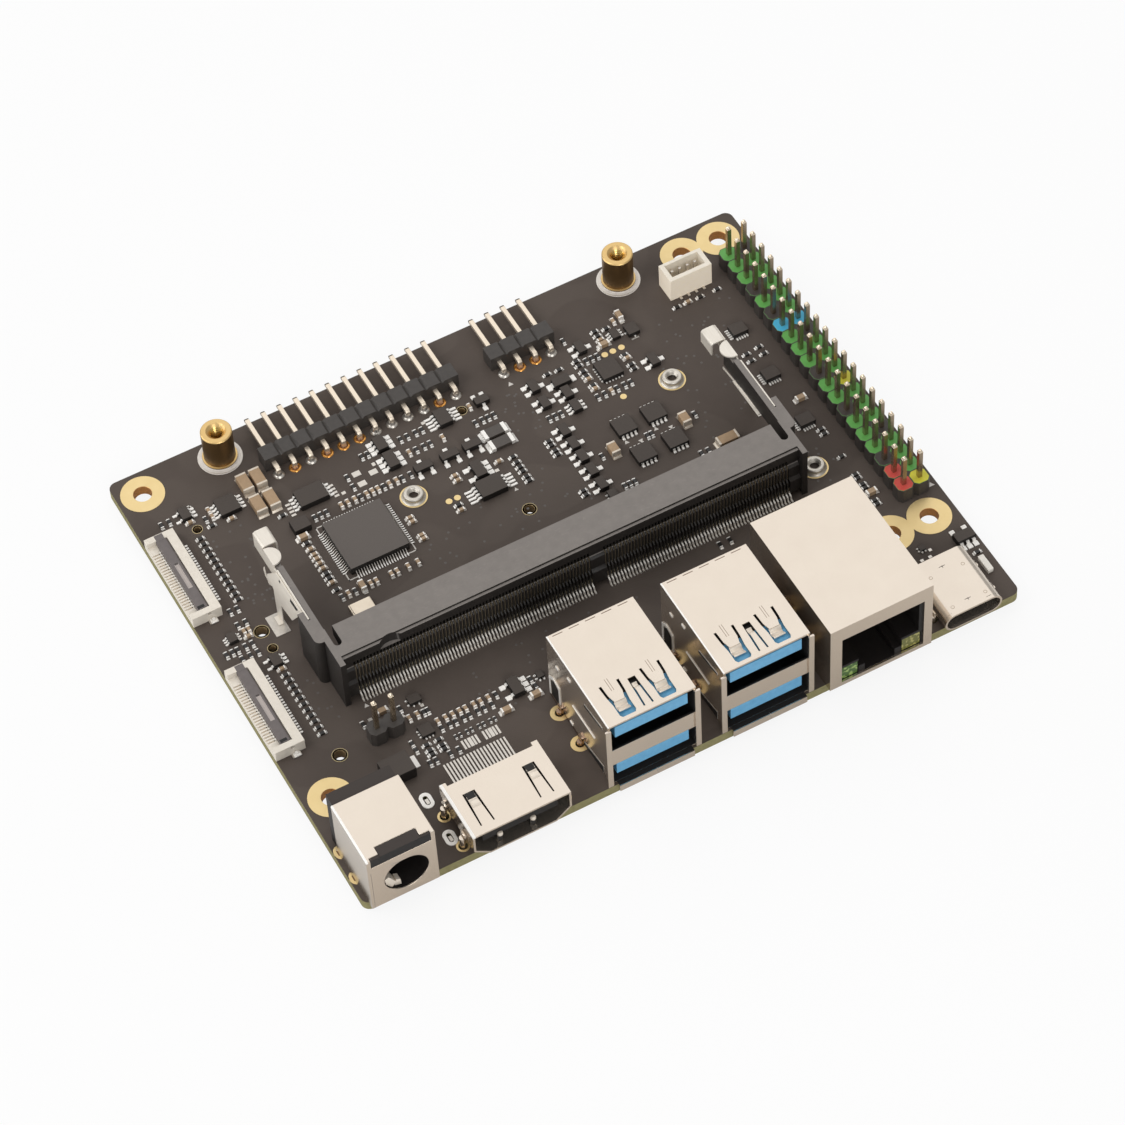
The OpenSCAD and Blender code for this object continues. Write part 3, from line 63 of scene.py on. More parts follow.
class Value:
    """A socket on which sums are written as plain arithmetic. | takes the greater of two values."""

    def __init__(self, nodes, socket):
        self.nodes, self.socket = nodes, socket

    def sum(self, operation, *others):
        return self.nodes.make("ShaderNodeMath", {"operation": operation}, dict(enumerate(others)))

    def __add__(self, other):
        return self.sum("ADD", self, other)

    def __radd__(self, other):
        return self.sum("ADD", other, self)

    def __sub__(self, other):
        return self.sum("SUBTRACT", self, other)

    def __rsub__(self, other):
        return self.sum("SUBTRACT", other, self)

    def __mul__(self, other):
        return self.sum("MULTIPLY", self, other)

    def __rmul__(self, other):
        return self.sum("MULTIPLY", other, self)

    def __or__(self, other):
        return self.sum("MAXIMUM", self, other)

    def __ror__(self, other):
        return self.sum("MAXIMUM", other, self)

    def __gt__(self, other):
        return self.sum("GREATER_THAN", self, other)

    def __lt__(self, other):
        return self.sum("LESS_THAN", self, other)

    def __abs__(self):
        return self.sum("ABSOLUTE", self)

    def __mod__(self, other):
        return self.sum("WRAP", self, other, 0)


class Nodes:
    """The node tree of a material or of the sky, drawn up from empty."""

    def __init__(self, owner):
        owner.use_nodes = True
        self.tree = owner.node_tree
        self.tree.nodes.clear()

    def make(self, kind, settings, values, out=0):
        """One node: its settings first, then a value or a link for each socket that needs one."""
        node = self.tree.nodes.new(kind)
        for key, value in settings.items():
            setattr(node, key, value)
        for key, value in values.items():
            if isinstance(value, Value):
                self.tree.links.new(value.socket, node.inputs[key])
            else:
                node.inputs[key].default_value = value
        return Value(self, node.outputs[out]) if node.outputs else None


def linear(colour):
    """A colour given as it looks on a screen, 0 to 255, as the shader takes it."""
    return [*(((c / 255 + 0.055) / 1.055) ** 2.4 if c > 10 else c / 3295 for c in colour), 1]


class Finish(Nodes):
    """One surface finish. Places on it are in millimetres."""

    def __init__(self, name):
        self.material = bpy.data.materials.new(name)
        super().__init__(self.material)
        metres = self.make("ShaderNodeTexCoord", {}, {}, "Object")
        self.place = self.make("ShaderNodeVectorMath", {"operation": "SCALE"}, {0: metres, "Scale": 1000}, "Vector")

    def axis(self, letter, source=None):
        return self.make("ShaderNodeSeparateXYZ", {}, {0: source or self.place}, letter)

    def facing(self, letter):
        return self.axis(letter, self.make("ShaderNodeNewGeometry", {}, {}, "Normal"))

    def grain(self, scale, detail=2, rough=0.5, place=None):
        """Cloudy noise with about so many lumps a millimetre."""
        return self.make("ShaderNodeTexNoise", {}, {"Vector": place or self.place, "Scale": scale,
                         "Detail": detail, "Roughness": rough})

    def stretched(self, x, y, z):
        return self.make("ShaderNodeVectorMath", {"operation": "MULTIPLY"}, {0: self.place, 1: (x, y, z)}, "Vector")

    def step(self, value, low, high):
        """0 below low, 1 above high, smooth between."""
        return self.make("ShaderNodeMapRange", {"interpolation_type": "SMOOTHSTEP"},
                         {0: value, 1: low, 2: high, 3: 0.0, 4: 1.0})

    def mix(self, part, first, second):
        first, second = (c if isinstance(c, Value) else linear(c) for c in (first, second))
        return self.make("ShaderNodeMix", {"data_type": "RGBA"}, {"Factor": part, 6: first, 7: second}, 2)

    def bump(self, height, strength, distance=0.00005):
        return self.make("ShaderNodeBump", {}, {"Height": height, "Strength": strength, "Distance": distance}, "Normal")

    def surface(self, colour, roughness, metallic=0.0, bump=None, **fixed):
        values = {"Base Color": colour, "Roughness": roughness, "Metallic": metallic}
        values.update({key.replace("_", " "): value for key, value in fixed.items()})
        if bump:
            values["Normal"] = bump
        self.close(self.make("ShaderNodeBsdfPrincipled", {}, values))

    def close(self, shader):
        self.make("ShaderNodeOutputMaterial", {}, {"Surface": shader})


sheet = bpy.data.meshes.new("floor_sheet")
sheet.from_pydata([(-3, -3, 0), (3, -3, 0), (3, 3, 0), (-3, 3, 0)], [], [(0, 1, 2, 3)])
floor = bpy.data.objects.new("floor_sheet", sheet)
bpy.context.collection.objects.link(floor)
paper = Finish("paper")
matte = paper.make("ShaderNodeBsdfDiffuse", {},
                   {"Color": paper.mix(paper.grain(0.02), (236, 236, 236), (240, 240, 240))})
glow = paper.make("ShaderNodeEmission", {}, {"Color": (1, 1, 1, 1), "Strength": 1.0})
seen = paper.make("ShaderNodeLightPath", {}, {}, "Is Camera Ray")
mirrored = paper.make("ShaderNodeLightPath", {}, {}, "Is Glossy Ray")
paper.close(paper.make("ShaderNodeMixShader", {}, {0: seen * 0.88 + mirrored * 0.1, 1: matte, 2: glow}))
sheet.materials.append(paper.material)
scene.world = bpy.data.worlds.new("studio")
sky = Nodes(scene.world)
open_sky = (sky.make("ShaderNodeLightPath", {}, {}, "Is Camera Ray")
            | sky.make("ShaderNodeLightPath", {}, {}, "Is Transmission Ray"))
backdrop = sky.make("ShaderNodeBackground", {}, {"Color": (1, 1, 1, 1), "Strength": open_sky * 0.55 + 0.45})
sky.make("ShaderNodeOutputWorld", {}, {"Surface": backdrop})
for name, place, size, power, warmth in (
        ("softbox_back", (0.3, 0.75, 1.05), 1.5, 5.1, (1, 0.99, 0.98)),
        ("softbox_left", (-0.75, 0.1, 0.8), 0.6, 3.7, (1, 1, 1)),
        ("softbox_front", (-0.1, -0.9, 0.6), 0.5, 2.9, (1, 1, 1)),
        ("softbox_low", (-1.2, 0.81, 0.39), 0.55, 2.4, (1, 1, 1))):
    lamp = bpy.data.lights.new(name, "AREA")
    lamp.shape, lamp.size, lamp.energy, lamp.color = "SQUARE", size, power, warmth
    box = bpy.data.objects.new(name, lamp)
    box.location = place
    box.rotation_euler = (-Vector(place)).to_track_quat("-Z", "Y").to_euler()
    bpy.context.collection.objects.link(box)

# The circuit board is glass cloth and resin, 1.6 mm thick, with copper inside and a matt dark grey
# coat of solder mask on both faces. It is sawn out of a panel, so its edge shows the pale laminate.


def dress(finish, *nodes):
    """Gives CAD nodes their finish."""
    for node in nodes:
        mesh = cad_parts[node].data
        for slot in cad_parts[node].material_slots:
            slot.material = finish.material
        if not len(mesh.materials):
            mesh.materials.append(finish.material)


mask = Finish("solder_mask")
sawn = abs(mask.facing("Z")) < 0.5
cloth = mask.grain(0.35, 3)
speck = mask.grain(9, 1)
traces = mask.make("ShaderNodeTexWave", {"wave_type": "BANDS", "bands_direction": "DIAGONAL"},
                   {0: mask.place, "Scale": 1.6, "Distortion": 2.5, "Detail": 0, "Detail Scale": 0.4})
copper = mask.step(mask.grain(0.12, 0), 0.5, 0.56)
coat = mask.mix(cloth, (82, 73, 67), (89, 80, 74))
coat = mask.mix(copper * 0.3, coat, (98, 89, 82))
coat = mask.mix(mask.step(speck, 0.7, 0.8) * 0.2, coat, (130, 124, 118))
layers = abs((mask.axis("Z") * 3.0) % 1.0 - 0.5)
laminate = mask.mix(mask.grain(1.5, 3), (122, 116, 80), (158, 152, 112))
laminate = mask.mix(mask.step(layers, 0.3, 0.5) * 0.4, laminate, (176, 166, 118))
relief = mask.bump(traces * mask.step(copper, 0.2, 0.8) * 0.5 + speck * 0.12 + copper * 0.6, 0.35, 0.00002)
mask.surface(mask.mix(sawn, coat, laminate), mask.step(cloth, 0.2, 0.8) * 0.08 + 0.5 + sawn * 0.2,
             bump=relief, Specular_IOR_Level=0.14)
dress(mask, "circuit_board")

# White marks are printed on the mask with a thin epoxy ink, so that parts go on the right way round: arrowheads
# by the first lead of a chip, and brackets at the corners of a larger one.
middle_x, middle_y, top_z = 50, 39.2, 2.9


class Shape:
    """Faces of one piece, in board millimetres: x along the port edge, y towards the back, z up from the
    board's top face. The model's origin is on the floor under (middle_x, middle_y), top_z below that face."""

    def __init__(self):
        self.points, self.faces, self.marks = [], [], []

    def add(self, points, faces, mark=0):
        first = len(self.points)
        self.points += points
        self.faces += [[first + i for i in face] for face in faces]
        self.marks += [mark] * len(faces)
        return self

    def prism(self, outline, z0, z1, mark=0, upper=None):
        """An outline drawn up from z0 to z1. upper is a different outline on top."""
        n = len(outline)
        return self.add([(x, y, z0) for x, y in outline] + [(x, y, z1) for x, y in upper or outline],
                        [list(range(n))[::-1], [n + i for i in range(n)]]
                        + [[i, (i + 1) % n, n + (i + 1) % n, n + i] for i in range(n)], mark)

    def box(self, a, b, mark=0):
        return self.prism([(a[0], a[1]), (b[0], a[1]), (b[0], b[1]), (a[0], b[1])], a[2], b[2], mark)

    def skin(self, loops, mark=0, closed=True):
        """Joins loops of as many points each, one after another. When closed, the last joins the first."""
        n, m = len(loops[0]), len(loops)
        return self.add([point for loop in loops for point in loop],
                        [[i * n + k, i * n + (k + 1) % n, (i + 1) % m * n + (k + 1) % n, (i + 1) % m * n + k]
                         for i in range(m if closed else m - 1) for k in range(n)], mark)

    def turned(self, x, y, profile, mark=0, n=32, closed=True):
        """A profile of radius and height, turned round an upright axis."""
        turns = [2 * math.pi * k / n for k in range(n)]
        return self.skin([[(x + r * math.cos(t), y + r * math.sin(t), z) for t in turns] for r, z in profile],
                         mark, closed)

    def strip(self, path, width, thick, mark=0, taper=None):
        """A flat bar along a path in x and z, width wide in y, centred on y = 0."""
        n = len(path)
        points = []
        for i, (x, z) in enumerate(path):
            before, after = path[max(i - 1, 0)], path[min(i + 1, n - 1)]
            dx, dz = after[0] - before[0], after[1] - before[1]
            size = math.hypot(dx, dz)
            nx, nz = -dz / size * thick / 2, dx / size * thick / 2
            half = width / 2 * (taper[i] if taper else 1)
            points += [(x - nx, -half, z - nz), (x - nx, half, z - nz), (x + nx, half, z + nz),
                       (x + nx, -half, z + nz)]
        faces = [[3, 2, 1, 0], [4 * n - 4, 4 * n - 3, 4 * n - 2, 4 * n - 1]]
        for i in range(n - 1):
            faces += [[4 * i + k, 4 * i + (k + 1) % 4, 4 * i + 4 + (k + 1) % 4, 4 * i + 4 + k] for k in range(4)]
        return self.add(points, faces, mark)

    def put(self, rule):
        """Moves each point to where the rule sends it."""
        self.points = [rule(*point) for point in self.points]
        return self

    def join(self, other):
        first = len(self.points)
        self.points += other.points
        self.faces += [[first + i for i in face] for face in other.faces]
        self.marks += other.marks
        return self

    def piece(self, name, body, *finishes, bevel=0.0, segments=2):
        """Makes the piece, with its sharp edges rounded by bevel. Each face's mark picks its finish."""
        mesh = bpy.data.meshes.new(name)
        mesh.from_pydata([((x - middle_x) / 1000, (y - middle_y) / 1000, (z + top_z) / 1000)
                          for x, y, z in self.points], [], self.faces)
        for finish in finishes:
            mesh.materials.append(finish.material)
        mesh.polygons.foreach_set("material_index", self.marks)
        built = bmesh.new()
        built.from_mesh(mesh)
        bmesh.ops.recalc_face_normals(built, faces=built.faces)
        if bevel:
            sharp = [e for e in built.edges if len(e.link_faces) == 2 and e.calc_face_angle() > math.radians(35)]
            bmesh.ops.bevel(built, geom=sharp, offset=bevel / 1000, segments=segments, affect="EDGES",
                            clamp_overlap=True, profile=0.6)
        built.to_mesh(mesh)
        built.free()
        mesh.shade_smooth()
        mesh.set_sharp_from_angle(angle=math.radians(35))
        made = bpy.data.objects.new(name, mesh)
        bpy.context.collection.objects.link(made)
        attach(made, body)
        return made


ink = Finish("white_ink")
ink.surface(ink.mix(ink.grain(5, 2), (196, 190, 182), (226, 221, 214)), ink.grain(8) * 0.2 + 0.5)
ink_thick = 0.02
marks = Shape()
for x, y, up, size in ((66.4, 49.7, 1, 0.8), (68.3, 48.75, -1, 0.8), (71.1, 49.7, 1, 0.8), (73.1, 48.75, -1, 0.8),
                       (57.3, 67.2, 1, 0.9), (14.5, 28.1, 1, 0.8), (18.0, 24.1, 1, 0.8), (49.15, 50.2, 1, 0.7),
                       (99, 22, 1, 1.2)):
    foot, point = y - up * size * 0.4, y + up * size * 0.4
    marks.prism([(x - size * 0.45, foot), (x + size * 0.45, foot), (x, point)], 0, ink_thick)
for x, y, right, back in ((21.9, 58.2, 1, -1), (32.4, 47.7, -1, 1), (21.9, 47.7, 1, 1), (25.6, 65.2, -1, -1),
                          (8.7, 70.7, -1, -1)):
    for width, depth in ((1.6, 0.18), (0.18, 1.4)):
        marks.box((x, y, 0), (x + right * width, y + back * depth, ink_thick))
marks.piece("white_marks", "board", ink)

# Vias are tiny holes drilled through the board, plated with copper and filled over by the mask.
# They show as small dimples with a pale rim.
via = Finish("covered_via")
via.surface(via.mix(via.grain(12), (58, 53, 50), (108, 101, 95)), 0.5)
rng = random.Random(7)
vias = Shape()
for x0, y0, x1, y1, count in ((33, 43, 58, 52, 34), (28, 17, 52, 28, 22), (8.6, 50, 14, 64, 26), (8.6, 28, 14, 38, 14),
                              (76, 44, 86, 60, 26), (84, 28, 92, 36, 14), (54, 57, 58, 66, 16), (80, 61, 92, 66, 12),
                              (52, 19, 69, 26, 16)):
    for k in range(count):
        x, y = rng.uniform(x0, x1), rng.uniform(y0, y1)
        vias.turned(x, y, [(0.0, 0.006), (0.1, 0.006), (0.16, 0.012), (0.2, 0.0)], n=10, closed=False)
vias.piece("covered_vias", "board", via)

# Rings of plated copper under thin gold stand round the holes. The copper goes on down the wall of each hole,
# and the face below has its own ring. The rings of the six small holes are dull.
gold = Finish("plated_gold")
worn = gold.grain(0.6, 3)
gold.surface(gold.mix(worn, (230, 203, 144), (241, 216, 160)), gold.grain(3, 3) * 0.16 + 0.3, 0.6,
             gold.bump(gold.grain(14, 3), 0.12, 0.00001))
dress(gold, "plated_rings")
bore = Finish("plated_bore")
bore.surface(bore.mix(bore.grain(4, 2), (196, 134, 74), (226, 174, 112)), 0.34, 0.8)
small_bore = Finish("small_bore")
small_bore.surface(small_bore.mix(small_bore.grain(4, 2), (120, 98, 66), (164, 138, 98)), 0.4, 0.5)
dull = Finish("dull_ring")
dull.surface(dull.mix(dull.grain(5, 2), (176, 156, 112), (204, 184, 140)), 0.4)
board_thick = 1.6
# x, y, and the diameters of bore and ring
screw_holes = [(x, y, 2.7, 6.3) for x in (3.75, 90, 96.05) for y in (17.25, 75.75)]
small_holes = [(7.7, 66.3, 0.9, 1.3), (7.7, 46.1, 1.6, 2), (7.8, 42.85, 0.9, 1.3), (7.8, 22.65, 1.6, 2),
               (49.1, 46.1, 1.5, 1.9), (49.1, 66.3, 1, 1.4)]
walls, below, small_rings = Shape(), Shape(), Shape()
for x, y, hole, ring in screw_holes + small_holes:
    r = hole / 2
    small = (x, y, hole, ring) in small_holes
    walls.turned(x, y, [(r - 0.002, 0.02), (r - 0.04, -0.01), (r - 0.04, 0.01 - board_thick),
                        (r - 0.002, -0.02 - board_thick)], int(small), 40)
    below.turned(x, y, [(r, -board_thick), (ring / 2, -board_thick), (ring / 2, -0.04 - board_thick),
                        (r, -0.04 - board_thick)], n=40)
    if small:
        small_rings.turned(x, y, [(r, 0.03), (ring / 2 + 0.12, 0.03), (ring / 2 + 0.12, 0.05), (r, 0.05)])
walls.piece("hole_walls", "board", bore, small_bore)
small_rings.piece("small_rings", "board", dull)
below.piece("rings_below", "board", gold)

# The two standoffs are turned from brass bar and threaded inside.
# Each stands on its foot in a tinned ring on the board and is soldered there.


def ease(width, *nodes):
    """Rounds the sharp edges of CAD nodes a little, as moulds and presses leave them."""
    for node in nodes:
        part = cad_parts[node]
        part.modifiers.new("joined", "WELD").merge_threshold = 0.000002
        edge = part.modifiers.new("eased", "BEVEL")
        edge.width, edge.segments = width / 1000, 2
        edge.limit_method, edge.angle_limit = "ANGLE", math.radians(40)
        edge.harden_normals = False
        part.modifiers.new("shaded", "WEIGHTED_NORMAL")


brass = Finish("turned_brass")
cut = brass.grain(1, 2, place=brass.stretched(0.2, 0.2, 9))
# Their flat ends are painted bright as lit, and their sides darker as shade.
brass_lit_top = brass.step(abs(brass.facing("Z")), 0.2, 0.6)
brass.surface(brass.mix(brass_lit_top, brass.mix(cut, (112, 88, 56), (136, 108, 70)),
                        brass.mix(cut, (218, 182, 118), (232, 200, 140))),
              cut * 0.12 + 0.34, 0.85, brass.bump(cut, 0.08, 0.00001))
dress(brass, "standoffs")
ease(0.05, "standoffs")
screw = Finish("cut_thread")
screw.surface(screw.mix(screw.grain(2), (206, 164, 86), (240, 212, 138)), 0.22, 0.9)
dull_tin = Finish("dull_tin")
flux = dull_tin.grain(1.4, 4, 0.7)
dull_tin.surface(dull_tin.mix(flux, (198, 189, 181), (240, 234, 226)), flux * 0.3 + 0.35, 0.25,
                 dull_tin.bump(flux, 0.4, 0.00004))
post_y = 76.2
thread, solder = Shape(), Shape()
for x in (16.0, 79.8):
    for k in range(11):
        z = 0.9 + k * 0.42
        thread.turned(x, post_y, [(1.0, z), (0.86, z + 0.17), (0.86, z + 0.23), (1.0, z + 0.4)], n=28)
    solder.turned(x, post_y, [(2.3, 0.02), (3.2, 0.02), (3.2, 0.06), (3.0, 0.12), (2.62, 0.16), (2.52, 0.3),
                              (2.3, 0.3)], n=48)
thread.piece("standoff_threads", "board", screw)
solder.piece("standoff_solder", "board", dull_tin)

# The two oval slots by the video port are lined with bright solder round a grey leg of its shell. The jack's two
# legs stand in oval gold rings, dark inside with baked flux.


def oval(u, v, du, dv, radius):
    """Corners of an oval: a circle whose halves are drawn apart, by du or dv each way."""
    return [(u + (du if k < 7 or k > 17 else -du) + radius * math.cos(math.pi * k / 12),
             v + (dv if k < 12 else -dv) + radius * math.sin(math.pi * k / 12)) for k in range(24)]


cap = Finish("terminal_tin")
cap.surface(cap.mix(cap.grain(3, 3), (238, 233, 226), (255, 253, 248)), cap.grain(6) * 0.2 + 0.24, 0.2)
tin = Finish("bright_tin")
flow = tin.grain(2.2, 3)
tin.surface(tin.mix(flow, (196, 190, 182), (226, 220, 211)), flow * 0.2 + 0.24, 0.82,
            tin.bump(tin.grain(6, 3), 0.3, 0.00003))
pit = Finish("fluxed_pit")
pit.surface(pit.mix(pit.grain(2, 2), (70, 38, 18), (150, 92, 44)), 0.3)
slots = Shape()
for y in (10.35, 3.65):
    slots.skin([[(u, v, z) for u, v in oval(14.45, y, 0, 0.42, r)]
                for r, z in ((0.36, 0.14), (0.86, 0.14), (0.86, 0.0), (0.36, 0.0))])
    slots.box((14.25, y - 0.6, -0.4), (14.7, y + 0.25, 0.1), 1)
slots.piece("slot_solder", "board", cap, tin)
jack_rings = Shape()
for y in (8.9, 4.4):
    jack_rings.skin([[(u, v, z) for u, v in oval(0.92, y, 0, 0.28, r)]
                     for r, z in ((0.42, 0.08), (0.82, 0.05), (0.82, 0.0), (0.42, 0.0))])
    jack_rings.prism(oval(0.92, y, 0, 0.28, 0.42), -0.02, 0.03, 1)
jack_rings.piece("jack_rings", "board", gold, pit)

# Three low steel nuts with a tin coat are soldered into gold rings on the board.
# They hold the screws that fix the module.
nut = Finish("tinned_steel")
nut.surface(nut.mix(nut.grain(2, 3), (196, 190, 180), (226, 220, 210)), nut.grain(5) * 0.15 + 0.36, 0.75)
dress(nut, "soldered_nuts")
ease(0.04, "soldered_nuts")
nut_solder = Shape()
for x, y in ((36.25, 56.2), (77.4, 56.2), (86.75, 32.5)):
    nut_solder.turned(x, y, [(1.46, 0.06), (1.75, 0.06), (1.6, 0.16), (1.46, 0.4)], n=40)
    for k in range(4):
        z = 0.1 + k * 0.17
        nut_solder.turned(x, y, [(0.8, z), (0.72, z + 0.07), (0.72, z + 0.1), (0.8, z + 0.16)], n=24)
nut_solder.piece("nut_solder", "board", nut)

# The module socket is moulded in dark glass-filled nylon. 130 contacts on each side stand in its comb, stamped from
# bronze and tinned; their upper parts, in the comb, are painted darker as shade. It is the most intricate part of the
# board.
nylon = Finish("dark_nylon")
fill = nylon.grain(0.8, 3)
fibre = nylon.grain(6, 3, place=nylon.stretched(0.25, 1, 1))
# Faces that look up, higher than 6.1 mm over the board, are painted pale as lit, and the sides and lower faces dark as
# shade.
nylon_lit_top = nylon.step(nylon.facing("Z"), 0.3, 0.8) * (nylon.axis("Z") > 9)
nylon_lit_colour = nylon.mix(fill * 0.6 + nylon.step(fibre, 0.55, 0.8) * 0.4, (116, 110, 105), (142, 135, 129))
nylon.surface(nylon.mix(nylon_lit_top, nylon.mix(fill, (34, 31, 29), (46, 42, 39)), nylon_lit_colour),
              fibre * 0.16 + 0.42, bump=nylon.bump(fibre, 0.3, 0.00002))
dress(nylon, "module_socket")
ease(0.05, "module_socket")
contact = Finish("contact_tin")
# The contacts are painted bright low down and darker higher up, as shade in the comb.
contact.surface(contact.mix(contact.axis("Z") > 4.2, (255, 250, 241), (140, 128, 108)), 0.28, 0.45)
dress(contact, "socket_rear_contacts", "socket_front_contacts")

# The latches hold the module down. They are bent from springy stainless sheet, with a folded finger tab and a
# half-round hook. Each moves in a fixed channel of the same sheet, which leans out a little and runs down in a
# leg to its pad.
latch_steel = Finish("latch_steel")
drawn = latch_steel.grain(4, 2, place=latch_steel.stretched(1, 0.15, 1))
latch_steel.surface(latch_steel.mix(drawn, (226, 218, 205), (241, 234, 223)), drawn * 0.12 + 0.34, 0.25)
dress(latch_steel, "latch_left", "latch_right")
ease(0.03, "latch_left", "latch_right")
# A near black finish, painted on where openings, gaps and slots lie in shade.
painted_shade_finish = Finish("painted_shade_slot")
painted_shade_finish.surface(painted_shade_finish.mix(painted_shade_finish.grain(3), (22, 20, 19), (34, 31, 29)), 0.6)
wall_x, wall_thick, lean, lean_from, lean_to, socket_middle = 11.66, 0.14, 0.2, 8.7, 4.6, 47.9
cheek = [(39.9, 8.7), (42.2, 5.0), (45.3, 4.6), (45.6, 4.2), (45.6, 0.15), (47.5, 0.15), (47.5, 4.6), (47.9, 5.3),
         (48.3, 5.5), (49.3, 5.0), (50.2, 5.4), (50.1, 6.2), (47.9, 8.7)]
for name in ("latch_anchor_left", "latch_anchor_right"):
    channel = Shape().box((11.83, 40.9, 5.1), (13.25, 47.9, 5.3))
    channel.prism([(12.62, 40.9), (12.74, 40.9), (13.25, 50.7), (13.13, 50.7)], 5.1, 5.5)
    channel.box((11.83, 38.4, 5.1), (12.05, 47.9, 9.15))
    # Two windows in the cheek are drawn as patches just outside it, painted dark as shade.
    for outline, mark, out in ((cheek, 0, 0), ([(40.9, 8.35), (41.5, 7.7), (43.4, 7.6), (43.4, 8.25)], 1, 0.012),
                               ([(46.4, 8.45), (46.4, 8.0), (46.9, 8.0), (46.9, 8.45)], 1, 0.012),
                               ([(50.4, 4.7), (51.0, 4.7), (51.7, 5.3), (51.7, 5.8)], 0, -0.3)):
        channel.join(Shape().prism(outline, 0, wall_thick, mark).put(
            lambda y, z, x: (wall_x + x - out - max(lean_from - max(z, lean_to), 0) * lean, y, z)))
    channel.box((10.2, 45.7, 0.1), (10.95, 47.3, 0.26))
    if name.endswith("right"):
        channel.put(lambda x, y, z: (2 * socket_middle - x, y, z))
    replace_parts(channel.piece(name + "_sheet", "board", latch_steel, painted_shade_finish, bevel=0.03), name)

# Pin headers: square phosphor bronze bars with pointed ends, plated with gold, pressed into a moulded strip of
# cells. The pins of the two angled headers go through the board in a cone of solder, or in a well of amber flux.
bar = Finish("pin_gold")
streak = bar.grain(2, 2, place=bar.stretched(1, 1, 0.2))
# The pointed tips are painted near white as a highlight.
pin_tip_highlight = bar.step(bar.axis("Z"), 10.75, 10.95)
bar.surface(bar.mix(pin_tip_highlight, bar.mix(streak, (150, 134, 112), (190, 172, 148)), (246, 230, 206)),
            streak * 0.12 + 0.18, 0.9)
pale = Finish("pin_pale")
tip = pale.step(pale.axis("Y"), 39.82, 39.94)
pale.surface(pale.mix(tip, (240, 226, 206), (92, 84, 74)), pale.grain(3) * 0.12 + 0.3, 0.7)
black = Finish("header_black")
black.surface(black.mix(black.grain(1.5, 3), (58, 54, 51), (74, 69, 65)), black.grain(4) * 0.15 + 0.45,
              bump=black.bump(black.grain(9), 0.2, 0.00001))
dress(black, "gpio_base", "angled_base_long", "angled_base_short", "jumper_base")
dress(pale, "angled_pins_long", "angled_pins_short")
ease(0.04, "angled_base_long", "angled_base_short")
ease(0.06, "angled_pins_long", "angled_pins_short")
amber = Finish("fluxed_gold")
amber.surface(amber.mix(amber.grain(3, 2), (196, 124, 52), (232, 176, 96)), 0.2, 0.75)
pin_pitch, angled_y, fluxed = 2.54, 69.2, (1, 3, 4, 5, 10, 13, 14)
cones, wells = Shape(), Shape()
for k, x in enumerate([21.73 + pin_pitch * i for i in range(12)] + [57.4 + pin_pitch * i for i in range(4)]):
    if k in fluxed:
        wells.turned(x, angled_y, [(0.52, 0.05), (0.66, 0.14), (0.82, 0.12), (0.9, 0.03), (0.52, 0.03)], n=24)
        wells.turned(x, angled_y, [(0.0, 0.08), (0.56, 0.06), (0.56, 0.03), (0.0, 0.03)], 1, 24, False)
    else:
        cones.turned(x, angled_y, [(0.0, 0.02), (0.84, 0.02), (0.8, 0.12), (0.55, 0.3), (0.4, 0.75), (0.0, 0.8)],
                     n=24, closed=False)
cones.piece("header_cones", "board", tin)
wells.piece("header_wells", "board", amber, pit)


def square(x, y, half):
    return [(x - half, y - half), (x + half, y - half), (x + half, y + half), (x - half, y + half)]


gpio_x, gpio_y = 94.88, 22.26
for name, node, places in (
        ("gpio_pin_bars", "gpio_pins_node",
         [(x, gpio_y + pin_pitch * k) for x in (gpio_x, gpio_x + pin_pitch) for k in range(20)]),
        ("jumper_pin_bars", "jumper_pins", [(13.5, 22.6), (16.04, 22.6)])):
    pins = Shape()
    for x, y in places:
        for z0, z1, a, b in ((-2.9, -2.5, 0.13, 0.32), (-2.5, 8.0, 0.32, 0.32), (8.0, 8.4, 0.32, 0.13)):
            pins.prism(square(x, y, a), z0, z1, 0, square(x, y, b))
    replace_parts(pins.piece(name, "board", bar, bevel=0.03, segments=1), node)

# The large header has its cells coloured by what each pin carries. Each is moulded in tinted nylon, and a black
# cell is left between them where the row says so.
cell_colours = {"green": (100, 176, 84), "blue": (72, 184, 224), "red": (212, 80, 70), "yellow": (220, 212, 62),
                "black": (66, 60, 56)}
cell_rows = (
    "red red black green green green black green green black green green green blue black green black green green "
    "green",
    "yellow green green green black green green green yellow green green green black blue green green green green "
    "green black")


def cut_square(x, y, half, cut):
    """A square with its corners cut off."""
    near = half - cut
    return [(x - half, y - near), (x - near, y - half), (x + near, y - half), (x + half, y - near),
            (x + half, y + near), (x + near, y + half), (x - near, y + half), (x - half, y + near)]


tint = {}
for name, (r, g, b) in cell_colours.items():
    dye = tint[name] = Finish("cell_" + name)
    dye.surface(dye.mix(dye.grain(1.5, 3), (r * 0.9, g * 0.9, b * 0.9), (r, g, b)), dye.grain(5) * 0.15 + 0.42,
                bump=dye.bump(dye.grain(8), 0.15, 0.00001))
cells = Shape()
for j, row in enumerate(cell_rows):
    for i, colour in enumerate(row.split()):
        x, y = gpio_x + pin_pitch * j, gpio_y + pin_pitch * i
        cells.prism(cut_square(x, y, 1.262, 0.56), 2.3, 2.56, list(tint).index(colour), cut_square(x, y, 1.2, 0.52))
cell_tops = cells.piece("gpio_cell_tops", "board", *tint.values(), bevel=0.03, segments=1)
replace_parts(cell_tops, "gpio_colour_tops")

